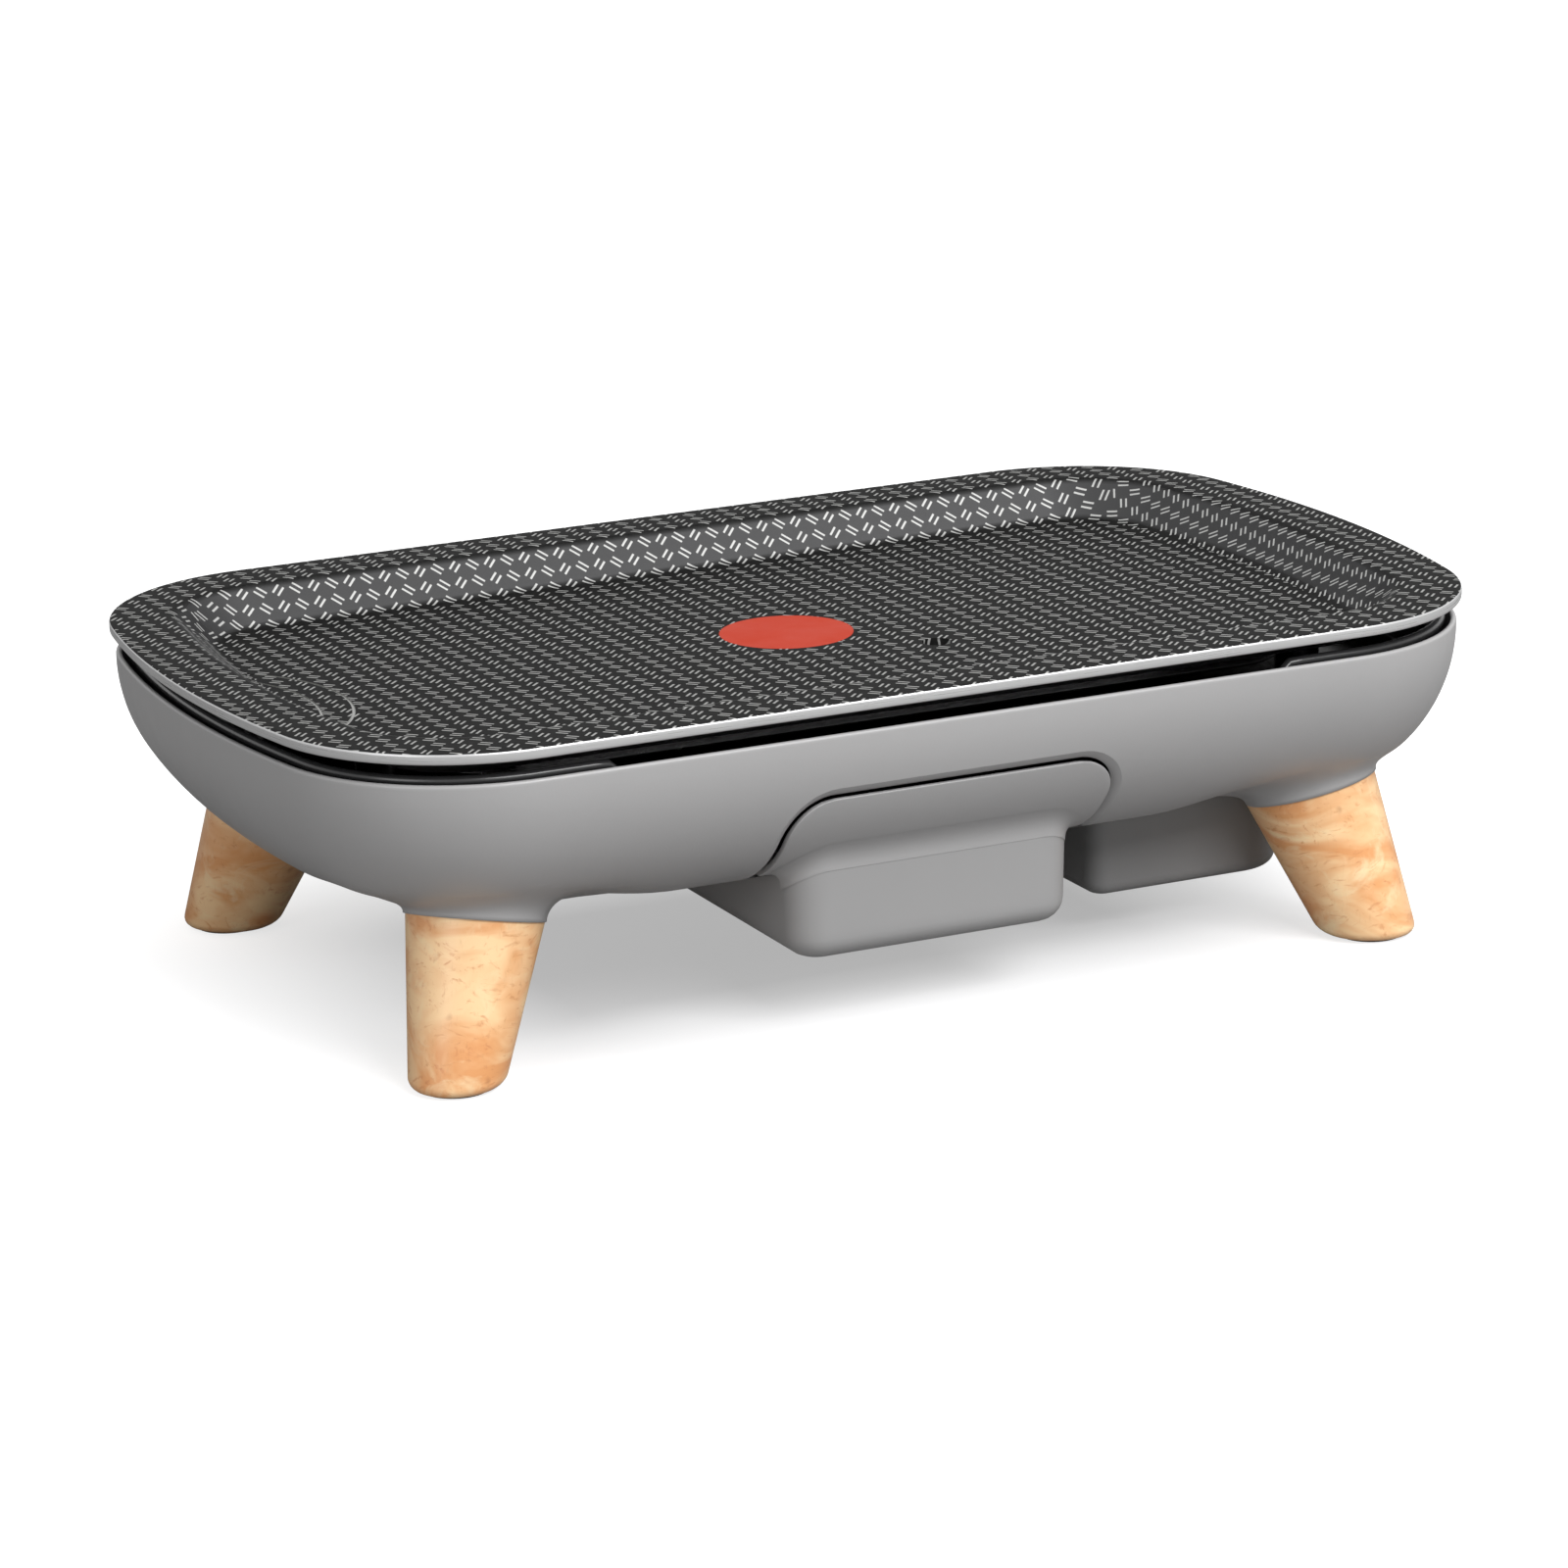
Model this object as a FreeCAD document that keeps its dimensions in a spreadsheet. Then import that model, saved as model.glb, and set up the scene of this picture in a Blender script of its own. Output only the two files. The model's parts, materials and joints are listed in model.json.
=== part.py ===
import FreeCAD, Part
import math
import os
import re
import Sketcher
from FreeCAD import Placement, Rotation, Vector

# Electric plancha: a cast cooking plate lifts off a bowl-shaped base on four wooden legs.
# The base holds a heat shield, a reflector, a bent tube heater and, below the floor,
# a housing with the thermostat and the mains inlet. A drip drawer slides out of the front.
# X runs along the plate, the front looks towards -Y, Z is up and the floor is at 0.

SIZES = {
    # Cooking plate
    "plate_length": 520.0,
    "plate_width": 319.0,
    "plate_corner": 79.0,
    "plate_bulge": 545.0,
    "plate_height": 138.7,
    "plate_rim": 4.5,
    "plate_base": 4.5,
    "well_depth": 14.3,
    "well_margin": 26.5,
    "well_run": 16.5,
    "well_corner": 48.0,
    "well_round": 8.0,
    "disc_radius": 27.0,
    "disc_thickness": 0.8,
    "disc_gap": 0.1,
    "drain_right": 45.0,
    "drain_front": 45.0,
    "drain_radius": 6.0,
    "mark_depth": 0.5,
    "mark_line": 1.3,
    "mark_width": 15.0,
    "mark_length": 95.0,
    "mark_bulge": 70.0,
    # Bowl-shaped shell
    "shell_below_rim": 12.7,
    "shell_inset": 2.1,
    "floor_below_rim": 81.7,
    "shell_wall": 2.5,
    "shell_lip": 0.9,
    "bowl_flat": 90.0,
    "bowl_radius": 67.0,
    # Legs, each leaning out along both axes
    "foot_right": 199.5,
    "foot_back": 121.9,
    "leg_lean": 0.295,
    "seat_tilt": 0.2,
    "seat_above_floor": 3.0,
    "leg_radius": 18.1,
    "leg_taper": 0.129,
    "leg_edge": 1.5,
    "collar_radius": 27.6,
    "collar_flare": 9.0,
    "boss_radius": 12.0,
    "boss_height": 18.0,
    "stud_radius": 3.0,
    "stud_depth": 32.0,
    "stud_gap": 0.05,
    "nut_width": 10.0,
    "nut_height": 5.0,
    "pad_radius": 13.0,
    "pad_thickness": 1.0,
    # Heat shield tray
    "tray_gap": 3.0,
    "tray_rise": 1.0,
    "tray_wall": 2.0,
    "tray_below_rim": 34.7,
    "tray_round": 14.0,
    "tray_dip": 9.0,
    "dip_half": 134.0,
    "dip_slope": 12.0,
    "rest_right": 201.0,
    "rest_back": 60.0,
    "rest_radius": 9.0,
    "rest_pad_radius": 7.0,
    "rest_pad_thickness": 1.5,
    "post_right": 160.0,
    "post_back": 60.0,
    "post_radius": 6.0,
    # Reflector and its posts
    "reflector_length": 370.0,
    "reflector_width": 190.0,
    "reflector_below_rim": 28.7,
    "reflector_rise": 5.0,
    "reflector_corner": 30.0,
    "sheet": 0.8,
    "stem_right": 136.0,
    "stem_back": 45.0,
    "stem_radius": 5.0,
    # Heater: four passes of bent tube
    "heater_radius": 3.3,
    "heater_drop": 0.3,
    "heater_inner": 15.0,
    "heater_outer": 75.0,
    "heater_reach": 165.0,
    "heater_bend": 28.0,
    "terminal_right": 125.0,
    "terminal_bend": 6.0,
    "terminal_above_floor": 27.0,
    "clip_right": 100.0,
    "clip_length": 8.0,
    "clip_width": 14.0,
    "bush_radius": 6.5,
    "bush_flange": 9.0,
    "bulb_radius": 3.0,
    "bulb_length": 60.0,
    "bulb_back": 45.0,
    "capillary_radius": 0.8,
    # Drain chute
    "chute_mouth": 11.0,
    "chute_radius": 7.0,
    "chute_bore": 5.6,
    "chute_below_rim": 19.5,
    "chute_above_floor": 23.0,
    "chute_flange": 12.0,
    # Drip drawer
    "bin_front": 133.5,
    "bin_back": 25.0,
    "bin_below_floor": 28.3,
    "bin_above_floor": 13.0,
    "bin_wall": 2.2,
    "bin_draft": 2.0,
    "bin_corner": 15.0,
    "bin_rear_corner": 10.0,
    "bin_foot": 9.0,
    "panel_width": 138.0,
    "panel_rise": 42.4,
    "panel_foot": 5.4,
    "panel_corner": 17.0,
    "door_gap": 1.4,
    "door_bevel": 1.6,
    "lip_above_floor": 8.5,
    "lip_width": 8.0,
    "lip_thickness": 2.5,
    # Drawer rails
    "rail_gap": 0.4,
    "rail_front": 108.0,
    "rail_web": 2.5,
    "rail_hook": 3.5,
    "rail_screw_front": 60.0,
    "rail_screw_back": 12.0,
    # Screws
    "screw_radius": 1.5,
    "screw_head": 3.2,
    "screw_head_height": 2.0,
    "screw_bite": 12.0,
    "screw_slot": 0.9,
    # Housing below the floor
    "housing_left": 95.5,
    "housing_right": 188.0,
    "housing_front": 80.0,
    "housing_back": 75.0,
    "housing_below_floor": 38.0,
    "housing_wall": 2.5,
    "housing_corner": 22.0,
    "housing_inner_corner": 8.0,
    "housing_foot": 5.0,
    "housing_screw_margin": 13.0,
    "housing_post_radius": 4.5,
    "cable_hole": 10.0,
    # Thermostat, knob and lamp
    "dial_back": 20.0,
    "dial_below_floor": 18.0,
    "thermostat_depth": 28.0,
    "thermostat_width": 32.0,
    "thermostat_height": 20.0,
    "shaft_radius": 3.0,
    "shaft_gap": 0.05,
    "shaft_out": 13.0,
    "knob_radius": 12.0,
    "knob_depth": 15.0,
    "knob_gap": 0.6,
    "knob_flute": 1.2,
    "lamp_front": 20.0,
    "lamp_radius": 3.0,
    "lamp_length": 12.0,
    "lens_radius": 4.0,
    "lens_out": 2.0,
    # Mains inlet and wiring
    "inlet_right": 128.0,
    "inlet_width": 30.0,
    "inlet_height": 21.0,
    "inlet_depth": 22.0,
    "inlet_wall": 2.5,
    "inlet_base": 4.0,
    "inlet_rise": 5.0,
    "inlet_flange": 2.0,
    "pin_width": 4.0,
    "pin_thickness": 2.0,
    "pin_spread": 7.0,
    "pin_rise": 3.5,
    "block_length": 30.0,
    "block_width": 14.0,
    "block_height": 12.0,
    "fuse_radius": 2.5,
    "fuse_length": 12.0,
    "pin_tail": 6.0,
    "pin_set_back": 8.0,
    "wire_radius": 1.2,
    "wire_bend": 6.0,
}

# Levels and widths that follow from the sizes above
FOLLOWS = {
    "shell_height": "plate_height - shell_below_rim",
    "shell_floor": "plate_height - floor_below_rim",
    "seat_height": "shell_floor + seat_above_floor",
    "tray_floor": "plate_height - tray_below_rim",
    "reflector_height": "plate_height - reflector_below_rim",
    "terminal_low": "shell_floor + terminal_above_floor",
    "chute_top": "plate_height - chute_below_rim",
    "chute_low": "shell_floor + chute_above_floor",
    "bin_width": "panel_width - 2 * lip_width",
    "bin_low": "shell_floor - bin_below_floor",
    "bin_high": "shell_floor + bin_above_floor",
    "panel_top": "shell_floor + panel_rise",
    "panel_low": "shell_floor + panel_foot",
    "lip_low": "shell_floor + lip_above_floor",
    "housing_low": "shell_floor - housing_below_floor",
    "dial_height": "shell_floor - dial_below_floor",
}

SIDES = {"left": -1, "right": 1}
DEPTHS = {"front": -1, "back": 1}

doc = FreeCAD.newDocument("Plancha")
sheet = doc.addObject("Spreadsheet::Sheet", "Sizes")
cells = {alias: str(size) for alias, size in SIZES.items()}
cells.update({alias: f"={formula}" for alias, formula in FOLLOWS.items()})
for row, (alias, content) in enumerate(cells.items(), 1):
    sheet.set(f"A{row}", alias)
    sheet.setAlias(f"B{row}", alias)
    sheet.set(f"B{row}", content)
doc.recompute()

pieces = []


# Formulas name the cells by their aliases, so "plate_rim / 2" reads Sizes.plate_rim / 2.
def named(formula):
    def cell(match):
        word = match.group(0)
        return f"Sizes.{word}" if word in cells else word
    return re.sub(r"[a-z_]+", cell, str(formula))


def number(formula):
    return float(sheet.evalExpression(named(formula)))


def bind(item, formulas):
    for field, formula in formulas.items():
        item.setExpression(field, named(formula))
    return item


def point(x, y, z):
    return Vector(number(x), number(y), number(z))


# Solids from primitives
def box(name, x, y, z):
    item = doc.addObject("Part::Box", name)
    return bind(item, {
        "Length": f"({x[1]}) - ({x[0]})",
        "Width": f"({y[1]}) - ({y[0]})",
        "Height": f"({z[1]}) - ({z[0]})",
        "Placement.Base.x": x[0],
        "Placement.Base.y": y[0],
        "Placement.Base.z": z[0],
    })


TURNS = {
    "X": Rotation(Vector(0, 1, 0), 90),
    "Y": Rotation(Vector(1, 0, 0), -90),
    "Z": Rotation(),
}


def stand(item, x, y, z, axis):
    item.Placement = Placement(Vector(), TURNS[axis])
    return bind(item, {"Placement.Base.x": x, "Placement.Base.y": y, "Placement.Base.z": z})


def rod(name, radius, length, x, y, z, axis="Z"):
    item = doc.addObject("Part::Cylinder", name)
    bind(item, {"Radius": radius, "Height": length})
    return stand(item, x, y, z, axis)


def cone(name, start, end, length, x, y, z, axis="Z"):
    item = doc.addObject("Part::Cone", name)
    bind(item, {"Radius1": start, "Radius2": end, "Height": length})
    return stand(item, x, y, z, axis)


def join(name, items):
    item = doc.addObject("Part::MultiFuse", name)
    item.Shapes = items
    return item


def cut(name, base, tools):
    item = doc.addObject("Part::Cut", name)
    item.Base = base
    item.Tool = tools[0] if len(tools) == 1 else join(f"{name}_tools", tools)
    return item


def common(name, base, tool):
    item = doc.addObject("Part::Common", name)
    item.Base = base
    item.Tool = tool
    return item


def group(name, items):
    item = doc.addObject("Part::Compound", name)
    item.Links = items
    return item


def edge_numbers(shape, wanted):
    return [count for count, edge in enumerate(shape.Edges, 1) if wanted(edge)]


def edge_names(shape, wanted):
    return [f"Edge{count}" for count in edge_numbers(shape, wanted)]


def round_edges(name, base, wanted, radius, kind="Part::Fillet"):
    doc.recompute()
    item = doc.addObject(kind, name)
    item.Base = base
    size = number(radius)
    item.Edges = [(count, size, size) for count in edge_numbers(base.Shape, wanted)]
    doc.recompute()
    return item


def at_level(edge, level):
    return all(abs(corner.Z - level) < 1e-4 for corner in edge.Vertexes)


def between_levels(edge):
    heights = [corner.Z for corner in edge.Vertexes]
    return max(heights) - min(heights) > 0.5


def along_y(edge):
    ends = edge.Vertexes
    return len(ends) == 2 and abs((ends[0].Point - ends[1].Point).normalize().y) > 0.999


# Bodies from sketches
def origin_plane(body, role):
    return next(item for item in body.Origin.OriginFeatures if item.Role == role)


def new_sketch(body, name, level):
    sketch = body.newObject("Sketcher::SketchObject", name)
    sketch.AttachmentSupport = [(origin_plane(body, "XY_Plane"), "")]
    sketch.MapMode = "FlatFace"
    return bind(sketch, {"AttachmentOffset.Base.z": level})


def dimension(sketch, kind, places, formula):
    count = sketch.addConstraint(Sketcher.Constraint(kind, *places, number(formula)))
    sketch.setExpression(f"Constraints[{count}]", named(formula))


def from_origin(sketch, kind, place, formula):
    if number(formula) < 0:
        dimension(sketch, kind, (*place, -1, 1), f"-({formula})")
    else:
        dimension(sketch, kind, (-1, 1, *place), formula)


def plate_outline(body, name, inset, corner, level):
    """The plate's plan: straight long sides, bowed short sides and tangent corner arcs."""
    sketch = new_sketch(body, name, level)
    half = number(f"plate_length / 2 - ({inset})")
    side = number(f"plate_width / 2 - ({inset})")
    bow = number(f"plate_bulge - ({inset})")
    turn = number(corner)
    corner_y = side - turn
    corner_x = half - bow + math.sqrt((bow - turn) ** 2 - corner_y ** 2)
    sweep = math.atan2(corner_y, corner_x - half + bow)

    def line(start_x, end_x, y):
        sketch.addGeometry(Part.LineSegment(Vector(start_x, y, 0), Vector(end_x, y, 0)))

    def arc(x, y, radius, start, end):
        circle = Part.Circle(Vector(x, y, 0), Vector(0, 0, 1), radius)
        sketch.addGeometry(Part.ArcOfCircle(circle, start, end))

    quarter = math.pi / 2
    line(-corner_x, corner_x, side)
    arc(corner_x, corner_y, turn, sweep, quarter)
    arc(half - bow, 0, bow, -sweep, sweep)
    arc(corner_x, -corner_y, turn, -quarter, -sweep)
    line(corner_x, -corner_x, -side)
    arc(-corner_x, -corner_y, turn, math.pi + sweep, 3 * quarter)
    arc(bow - half, 0, bow, math.pi - sweep, math.pi + sweep)
    arc(-corner_x, corner_y, turn, quarter, math.pi - sweep)
    for places in (
        (0, 2, 1, 2), (1, 1, 2, 2), (2, 1, 3, 2), (3, 1, 4, 1),
        (4, 2, 5, 2), (5, 1, 6, 2), (6, 1, 7, 2), (7, 1, 0, 1),
    ):
        sketch.addConstraint(Sketcher.Constraint("Tangent", *places))
    for kind, *places in (
        ("Horizontal", 0),
        ("Horizontal", 4),
        ("Equal", 1, 3),
        ("Equal", 1, 5),
        ("Equal", 1, 7),
        ("Equal", 2, 6),
        ("PointOnObject", 2, 3, -1),
        ("PointOnObject", 6, 3, -1),
    ):
        sketch.addConstraint(Sketcher.Constraint(kind, *places))
    dimension(sketch, "Radius", (1,), corner)
    dimension(sketch, "Radius", (2,), f"plate_bulge - ({inset})")
    dimension(sketch, "DistanceX", (2, 3, -1, 1), "plate_bulge - plate_length / 2")
    dimension(sketch, "DistanceX", (-1, 1, 6, 3), "plate_bulge - plate_length / 2")
    dimension(sketch, "DistanceY", (-1, 1, 0, 1), f"plate_width / 2 - ({inset})")
    dimension(sketch, "DistanceY", (4, 1, -1, 1), f"plate_width / 2 - ({inset})")
    return sketch


def rectangle(body, name, x, y, level, corners):
    """A rectangle with arcs at its front-left, front-right, back-right and back-left."""
    sketch = new_sketch(body, name, level)
    first, second, third, fourth = (number(corner) for corner in corners)
    low = point(x[0], y[0], 0)
    high = point(x[1], y[1], 0)
    quarter = math.pi / 2

    def line(start_x, start_y, end_x, end_y):
        sketch.addGeometry(
            Part.LineSegment(Vector(start_x, start_y, 0), Vector(end_x, end_y, 0)))

    def arc(centre_x, centre_y, radius, start):
        circle = Part.Circle(Vector(centre_x, centre_y, 0), Vector(0, 0, 1), radius)
        sketch.addGeometry(Part.ArcOfCircle(circle, start, start + quarter))

    line(low.x + first, low.y, high.x - second, low.y)
    arc(high.x - second, low.y + second, second, -quarter)
    line(high.x, low.y + second, high.x, high.y - third)
    arc(high.x - third, high.y - third, third, 0)
    line(high.x - third, high.y, low.x + fourth, high.y)
    arc(low.x + fourth, high.y - fourth, fourth, quarter)
    line(low.x, high.y - fourth, low.x, low.y + first)
    arc(low.x + first, low.y + first, first, 2 * quarter)
    for count in range(8):
        sketch.addConstraint(Sketcher.Constraint("Tangent", count, 2, (count + 1) % 8, 1))
    for count, kind in enumerate(("Horizontal", "Vertical", "Horizontal", "Vertical")):
        sketch.addConstraint(Sketcher.Constraint(kind, 2 * count))
    for place, corner in zip((7, 1, 3, 5), corners):
        dimension(sketch, "Radius", (place,), corner)
    from_origin(sketch, "DistanceX", (6, 1), x[0])
    from_origin(sketch, "DistanceX", (2, 1), x[1])
    from_origin(sketch, "DistanceY", (0, 1), y[0])
    from_origin(sketch, "DistanceY", (4, 1), y[1])
    return sketch


def pad_down(body, name, sketch, top, low, lean="0"):
    pad = body.newObject("PartDesign::Pad", f"{name}_pad")
    pad.Profile = sketch
    pad.Reversed = True
    bind(pad, {"Length": f"({top}) - ({low})", "TaperAngle": lean})
    doc.recompute()
    return pad


def body_fillet(body, name, feature, wanted, radius):
    fillet = body.newObject("PartDesign::Fillet", name)
    fillet.Base = (feature, edge_names(feature.Shape, wanted))
    bind(fillet, {"Radius": radius})
    doc.recompute()
    return fillet


def plate_block(name, inset, top, low, corner, foot=None, lean="0"):
    """A block in the plate's plan, drawn in by an inset, with its foot rounded."""
    body = doc.addObject("PartDesign::Body", name)
    sketch = plate_outline(body, f"{name}_outline", inset, corner, top)
    feature = pad_down(body, name, sketch, top, low, lean)
    if foot:
        level = number(low)
        body_fillet(body, f"{name}_foot", feature, lambda edge: at_level(edge, level), foot)
    return body


def box_block(name, x, y, z, corners, foot, lean="0"):
    """A tub-like block with rounded corners and a rounded foot."""
    body = doc.addObject("PartDesign::Body", name)
    sketch = rectangle(body, f"{name}_outline", x, y, z[1], corners)
    feature = pad_down(body, name, sketch, z[1], z[0], lean)
    level = number(z[0])
    body_fillet(body, f"{name}_foot", feature, lambda edge: at_level(edge, level), foot)
    return body


# A bent tube: straight runs joined by tangent arcs
def tube(name, radius, points, bends):
    if not isinstance(bends, list):
        bends = [bends] * (len(points) - 2)
    edges = []
    start = points[0]
    for before, turn, after, bend in zip(points, points[1:], points[2:], bends):
        into = (before - turn).normalize()
        out = (after - turn).normalize()
        half_angle = into.getAngle(out) / 2
        reach = min(bend / math.tan(half_angle), (before - turn).Length / 2, (after - turn).Length / 2)
        arc_radius = reach * math.tan(half_angle)
        centre = turn + (into + out).normalize() * (arc_radius / math.sin(half_angle))
        middle = centre + (turn - centre).normalize() * arc_radius
        arc_start = turn + into * reach
        arc_end = turn + out * reach
        if (arc_start - start).Length > 1e-6:
            edges.append(Part.LineSegment(start, arc_start).toShape())
        edges.append(Part.Arc(arc_start, middle, arc_end).toShape())
        start = arc_end
    if (points[-1] - start).Length > 1e-6:
        edges.append(Part.LineSegment(start, points[-1]).toShape())
    path = Part.Wire(edges)
    circle = Part.Circle(points[0], points[1] - points[0], radius)
    item = doc.addObject("Part::Feature", name)
    item.Shape = path.makePipeShell([Part.Wire([circle.toShape()])], True, False)
    return item


def piece(label, item):
    item.Label = label
    pieces.append(item)
    return item


# Heights and insets that several pieces share
UNDERSIDE = "plate_height - well_depth - plate_base"
WELL_FLOOR = "plate_height - well_depth"
WELL_LEAN = "atan(well_run / well_depth)"
SHELL_FLOOR_TOP = "shell_floor + shell_wall"
SHELL_CORNER = "plate_corner - shell_inset"
TRAY_INSET = "shell_inset + shell_wall + tray_gap"
TRAY_TOP = "shell_height + tray_rise"
TRAY_FLOOR_TOP = "tray_floor + tray_wall"
REFLECTOR_TOP = "reflector_height + sheet"
HEATER_LEVEL = f"{UNDERSIDE} - heater_drop - heater_radius"
HOUSING_FLOOR_TOP = "housing_low + housing_wall"
HOUSING_WALL_IN = "housing_right - housing_wall"
INLET_LOW = f"{HOUSING_FLOOR_TOP} + inlet_rise"
LIP_TOP = "lip_low + lip_thickness"
RAIL_CENTRE = "(bin_width / 2 + rail_gap + panel_width / 2 + rail_gap) / 2"
SCREW_HOLE = "screw_radius + 0.1"


def cast_plate():
    rim = plate_block(
        "rim", "0", "plate_height", "plate_height - plate_rim", "plate_corner")
    rim_wall = f"plate_base / cos({WELL_LEAN})"
    pan_inset = f"well_margin + plate_rim * well_run / well_depth - {rim_wall}"
    pan = plate_block(
        "pan", pan_inset, "plate_height - plate_rim", UNDERSIDE,
        "well_corner", "well_round", f"-{WELL_LEAN}")
    well = plate_block(
        "well", "well_margin", "plate_height", WELL_FLOOR,
        "well_corner", "well_round", f"-{WELL_LEAN}")
    blank = cut("plate_blank", join("plate_body", [rim, pan]), [well])
    top = number("plate_height")
    outer = number("plate_width / 2") - number("well_margin") / 2

    def well_edge(edge):
        box_size = edge.BoundBox
        reach = max(abs(box_size.XMin), abs(box_size.XMax)) / number("plate_length / 2")
        side = max(abs(box_size.YMin), abs(box_size.YMax)) / outer
        return at_level(edge, top) and side < 1 and reach < 0.96

    softened = round_edges("well_lip", blank, well_edge, "well_round")
    drain = rod(
        "drain", "drain_radius", "plate_base + 2",
        "drain_right", "-drain_front", f"{UNDERSIDE} - 1")
    seat = rod(
        "disc_seat", "disc_radius + disc_gap", "disc_thickness + 1",
        "0", "0", f"{WELL_FLOOR} - disc_thickness")
    piece("cooking_plate", cut("plate", softened, [drain, seat, corner_mark()]))
    piece("heat_indicator_disc", rod(
        "disc", "disc_radius", "disc_thickness", "0", "0", f"{WELL_FLOOR} - disc_thickness"))


def corner_mark():
    """A shallow crescent-shaped groove in the well's floor, beside its left wall."""
    centre = number("-plate_length / 2 + well_margin + well_run + mark_width + 11")
    level = number(f"{WELL_FLOOR} - mark_depth")
    line = number("mark_line")

    def crescent(shrink):
        radius = number("mark_bulge") - shrink
        width = number("mark_width") - 2 * shrink
        height = number("mark_depth") + 1
        outer = Part.makeCylinder(radius, height, Vector(centre - radius - shrink, 0, level))
        shift = width + 6
        inner = Part.makeCylinder(radius + 6, height + 1,
                                  Vector(centre - radius - 6 - shift + 6 - shrink, 0, level - 0.5))
        reach = number("mark_length") - 2 * shrink
        window = Part.makeBox(radius, reach, height, Vector(centre - radius, -reach / 2, level))
        return outer.cut(inner).common(window)

    item = doc.addObject("Part::Feature", "corner_mark")
    item.Shape = crescent(0).cut(crescent(line))
    return item


# The frame of a leg: where its axis meets the floor, and the tilted seat under the shell
def leg_places(side, depth):
    foot = Vector(side * number("foot_right"), depth * number("foot_back"), 0)
    lean = number("leg_lean")
    axis = Vector(-side * lean, -depth * lean, 1)
    seat = foot + axis * number("seat_height")
    tilt = number("seat_tilt")
    normal = Vector(-side * tilt, -depth * tilt, 1).normalize()
    return foot, axis.normalize(), seat, normal


def along(item, origin, direction):
    item.Placement = Placement(origin, Rotation(Vector(0, 0, 1), direction))
    return item


def leaning_rod(name, radius, length, origin, direction):
    item = doc.addObject("Part::Cylinder", name)
    bind(item, {"Radius": radius, "Height": length})
    return along(item, origin, direction)


def leaning_cone(name, start, end, length, origin, direction):
    item = doc.addObject("Part::Cone", name)
    bind(item, {"Radius1": start, "Radius2": end, "Height": length})
    return along(item, origin, direction)


def every_leg():
    for depth_name, depth in DEPTHS.items():
        for side_name, side in SIDES.items():
            yield f"{depth_name}_{side_name}", leg_places(side, depth)


def shell():
    outside = plate_block(
        "bowl", "shell_inset", "shell_height", "shell_floor", SHELL_CORNER, "bowl_radius")
    hollow = plate_block(
        "bowl_hollow", "shell_inset + shell_wall", "shell_height", SHELL_FLOOR_TOP,
        f"{SHELL_CORNER} - shell_wall", "bowl_radius - shell_wall")
    wall = cut("bowl_wall", outside, [hollow])
    collars = []
    bosses = []
    bores = []
    for name, (_, _, seat, normal) in every_leg():
        collars.append(leaning_cone(
            f"collar_{name}", "collar_radius", "collar_radius + collar_flare", "boss_height",
            seat, normal))
        bosses.append(leaning_rod(f"boss_{name}", "boss_radius", "boss_height", seat, normal))
        bores.append(leaning_rod(
            f"bore_{name}", "stud_radius + 0.2", "boss_height + 4", seat - normal * 2, normal))
    skin = join("bowl_and_collars", [outside, *collars])
    opened = cut("bowl_open", skin, [hollow])
    posts = [
        rod(f"post_{count}", "post_radius", f"tray_floor - ({SHELL_FLOOR_TOP})", x, y,
            SHELL_FLOOR_TOP)
        for count, (x, y) in enumerate(tray_screw_places())]
    screw_bosses = [
        rod(f"screw_boss_{count}", "housing_post_radius", "screw_bite", x, y,
            f"{SHELL_FLOOR_TOP}")
        for count, (x, y) in enumerate(housing_screw_places())]
    filled = join("shell_filled", [opened, *bosses, *posts, *screw_bosses])
    holes = bores + door_holes() + [
        rod(f"post_hole_{count}", SCREW_HOLE, "screw_bite + 2", x, y,
            "tray_floor - screw_bite - 1")
        for count, (x, y) in enumerate(tray_screw_places())]
    holes += [
        rod(f"rail_hole_{count}", SCREW_HOLE, "shell_wall + 2", x, y, "shell_floor - 1")
        for count, (x, y) in enumerate(rail_screw_places())]
    holes += [
        rod(f"housing_hole_{count}", SCREW_HOLE, "screw_bite + shell_wall + 1", x, y,
            "shell_floor - 1")
        for count, (x, y) in enumerate(housing_screw_places())]
    holes.append(rod("cable_way", "cable_hole", "shell_wall + 2", "terminal_right", "0",
                     "shell_floor - 1"))
    pierced = cut("shell_pierced", filled, holes)
    doc.recompute()

    def door_edge(edge):
        middle = edge.valueAt((edge.FirstParameter + edge.LastParameter) / 2)
        lowest = min(corner.Z for corner in edge.Vertexes)
        on_face = hollow.Shape.distToShape(Part.Vertex(middle))[0] > number("shell_wall") * 0.9
        in_door = abs(middle.x) < number("panel_width") and middle.y < -number("rail_front")
        return on_face and in_door and lowest > number("panel_low - door_gap - 0.1") and (
            middle.z < number("panel_top + door_gap + 0.1"))

    bevelled = round_edges("shell_bevel", pierced, door_edge, "door_bevel", "Part::Chamfer")
    top = number("shell_height")
    piece("shell", round_edges(
        "shell_lip_round", bevelled, lambda edge: at_level(edge, top), "shell_lip"))
    return skin, hollow, wall


def door_holes():
    """The cut-out that the drawer's panel closes, and the slot below it for the bin."""
    half = "panel_width / 2 + door_gap"
    arch = box("door_arch", (f"-({half})", half), ("-plate_width", "-rail_front + 6"),
               ("panel_low - door_gap", "panel_top + door_gap"))
    level = number("panel_top + door_gap")
    door = round_edges(
        "door", arch, lambda edge: along_y(edge) and at_level(edge, level),
        "panel_corner + door_gap")
    slot = box("bin_slot", ("-(bin_width / 2 + door_gap)", "bin_width / 2 + door_gap"),
               ("-plate_width / 2", "bin_back + door_gap + 1"), ("shell_floor - 1", "panel_low"))
    return [door, slot]


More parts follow.
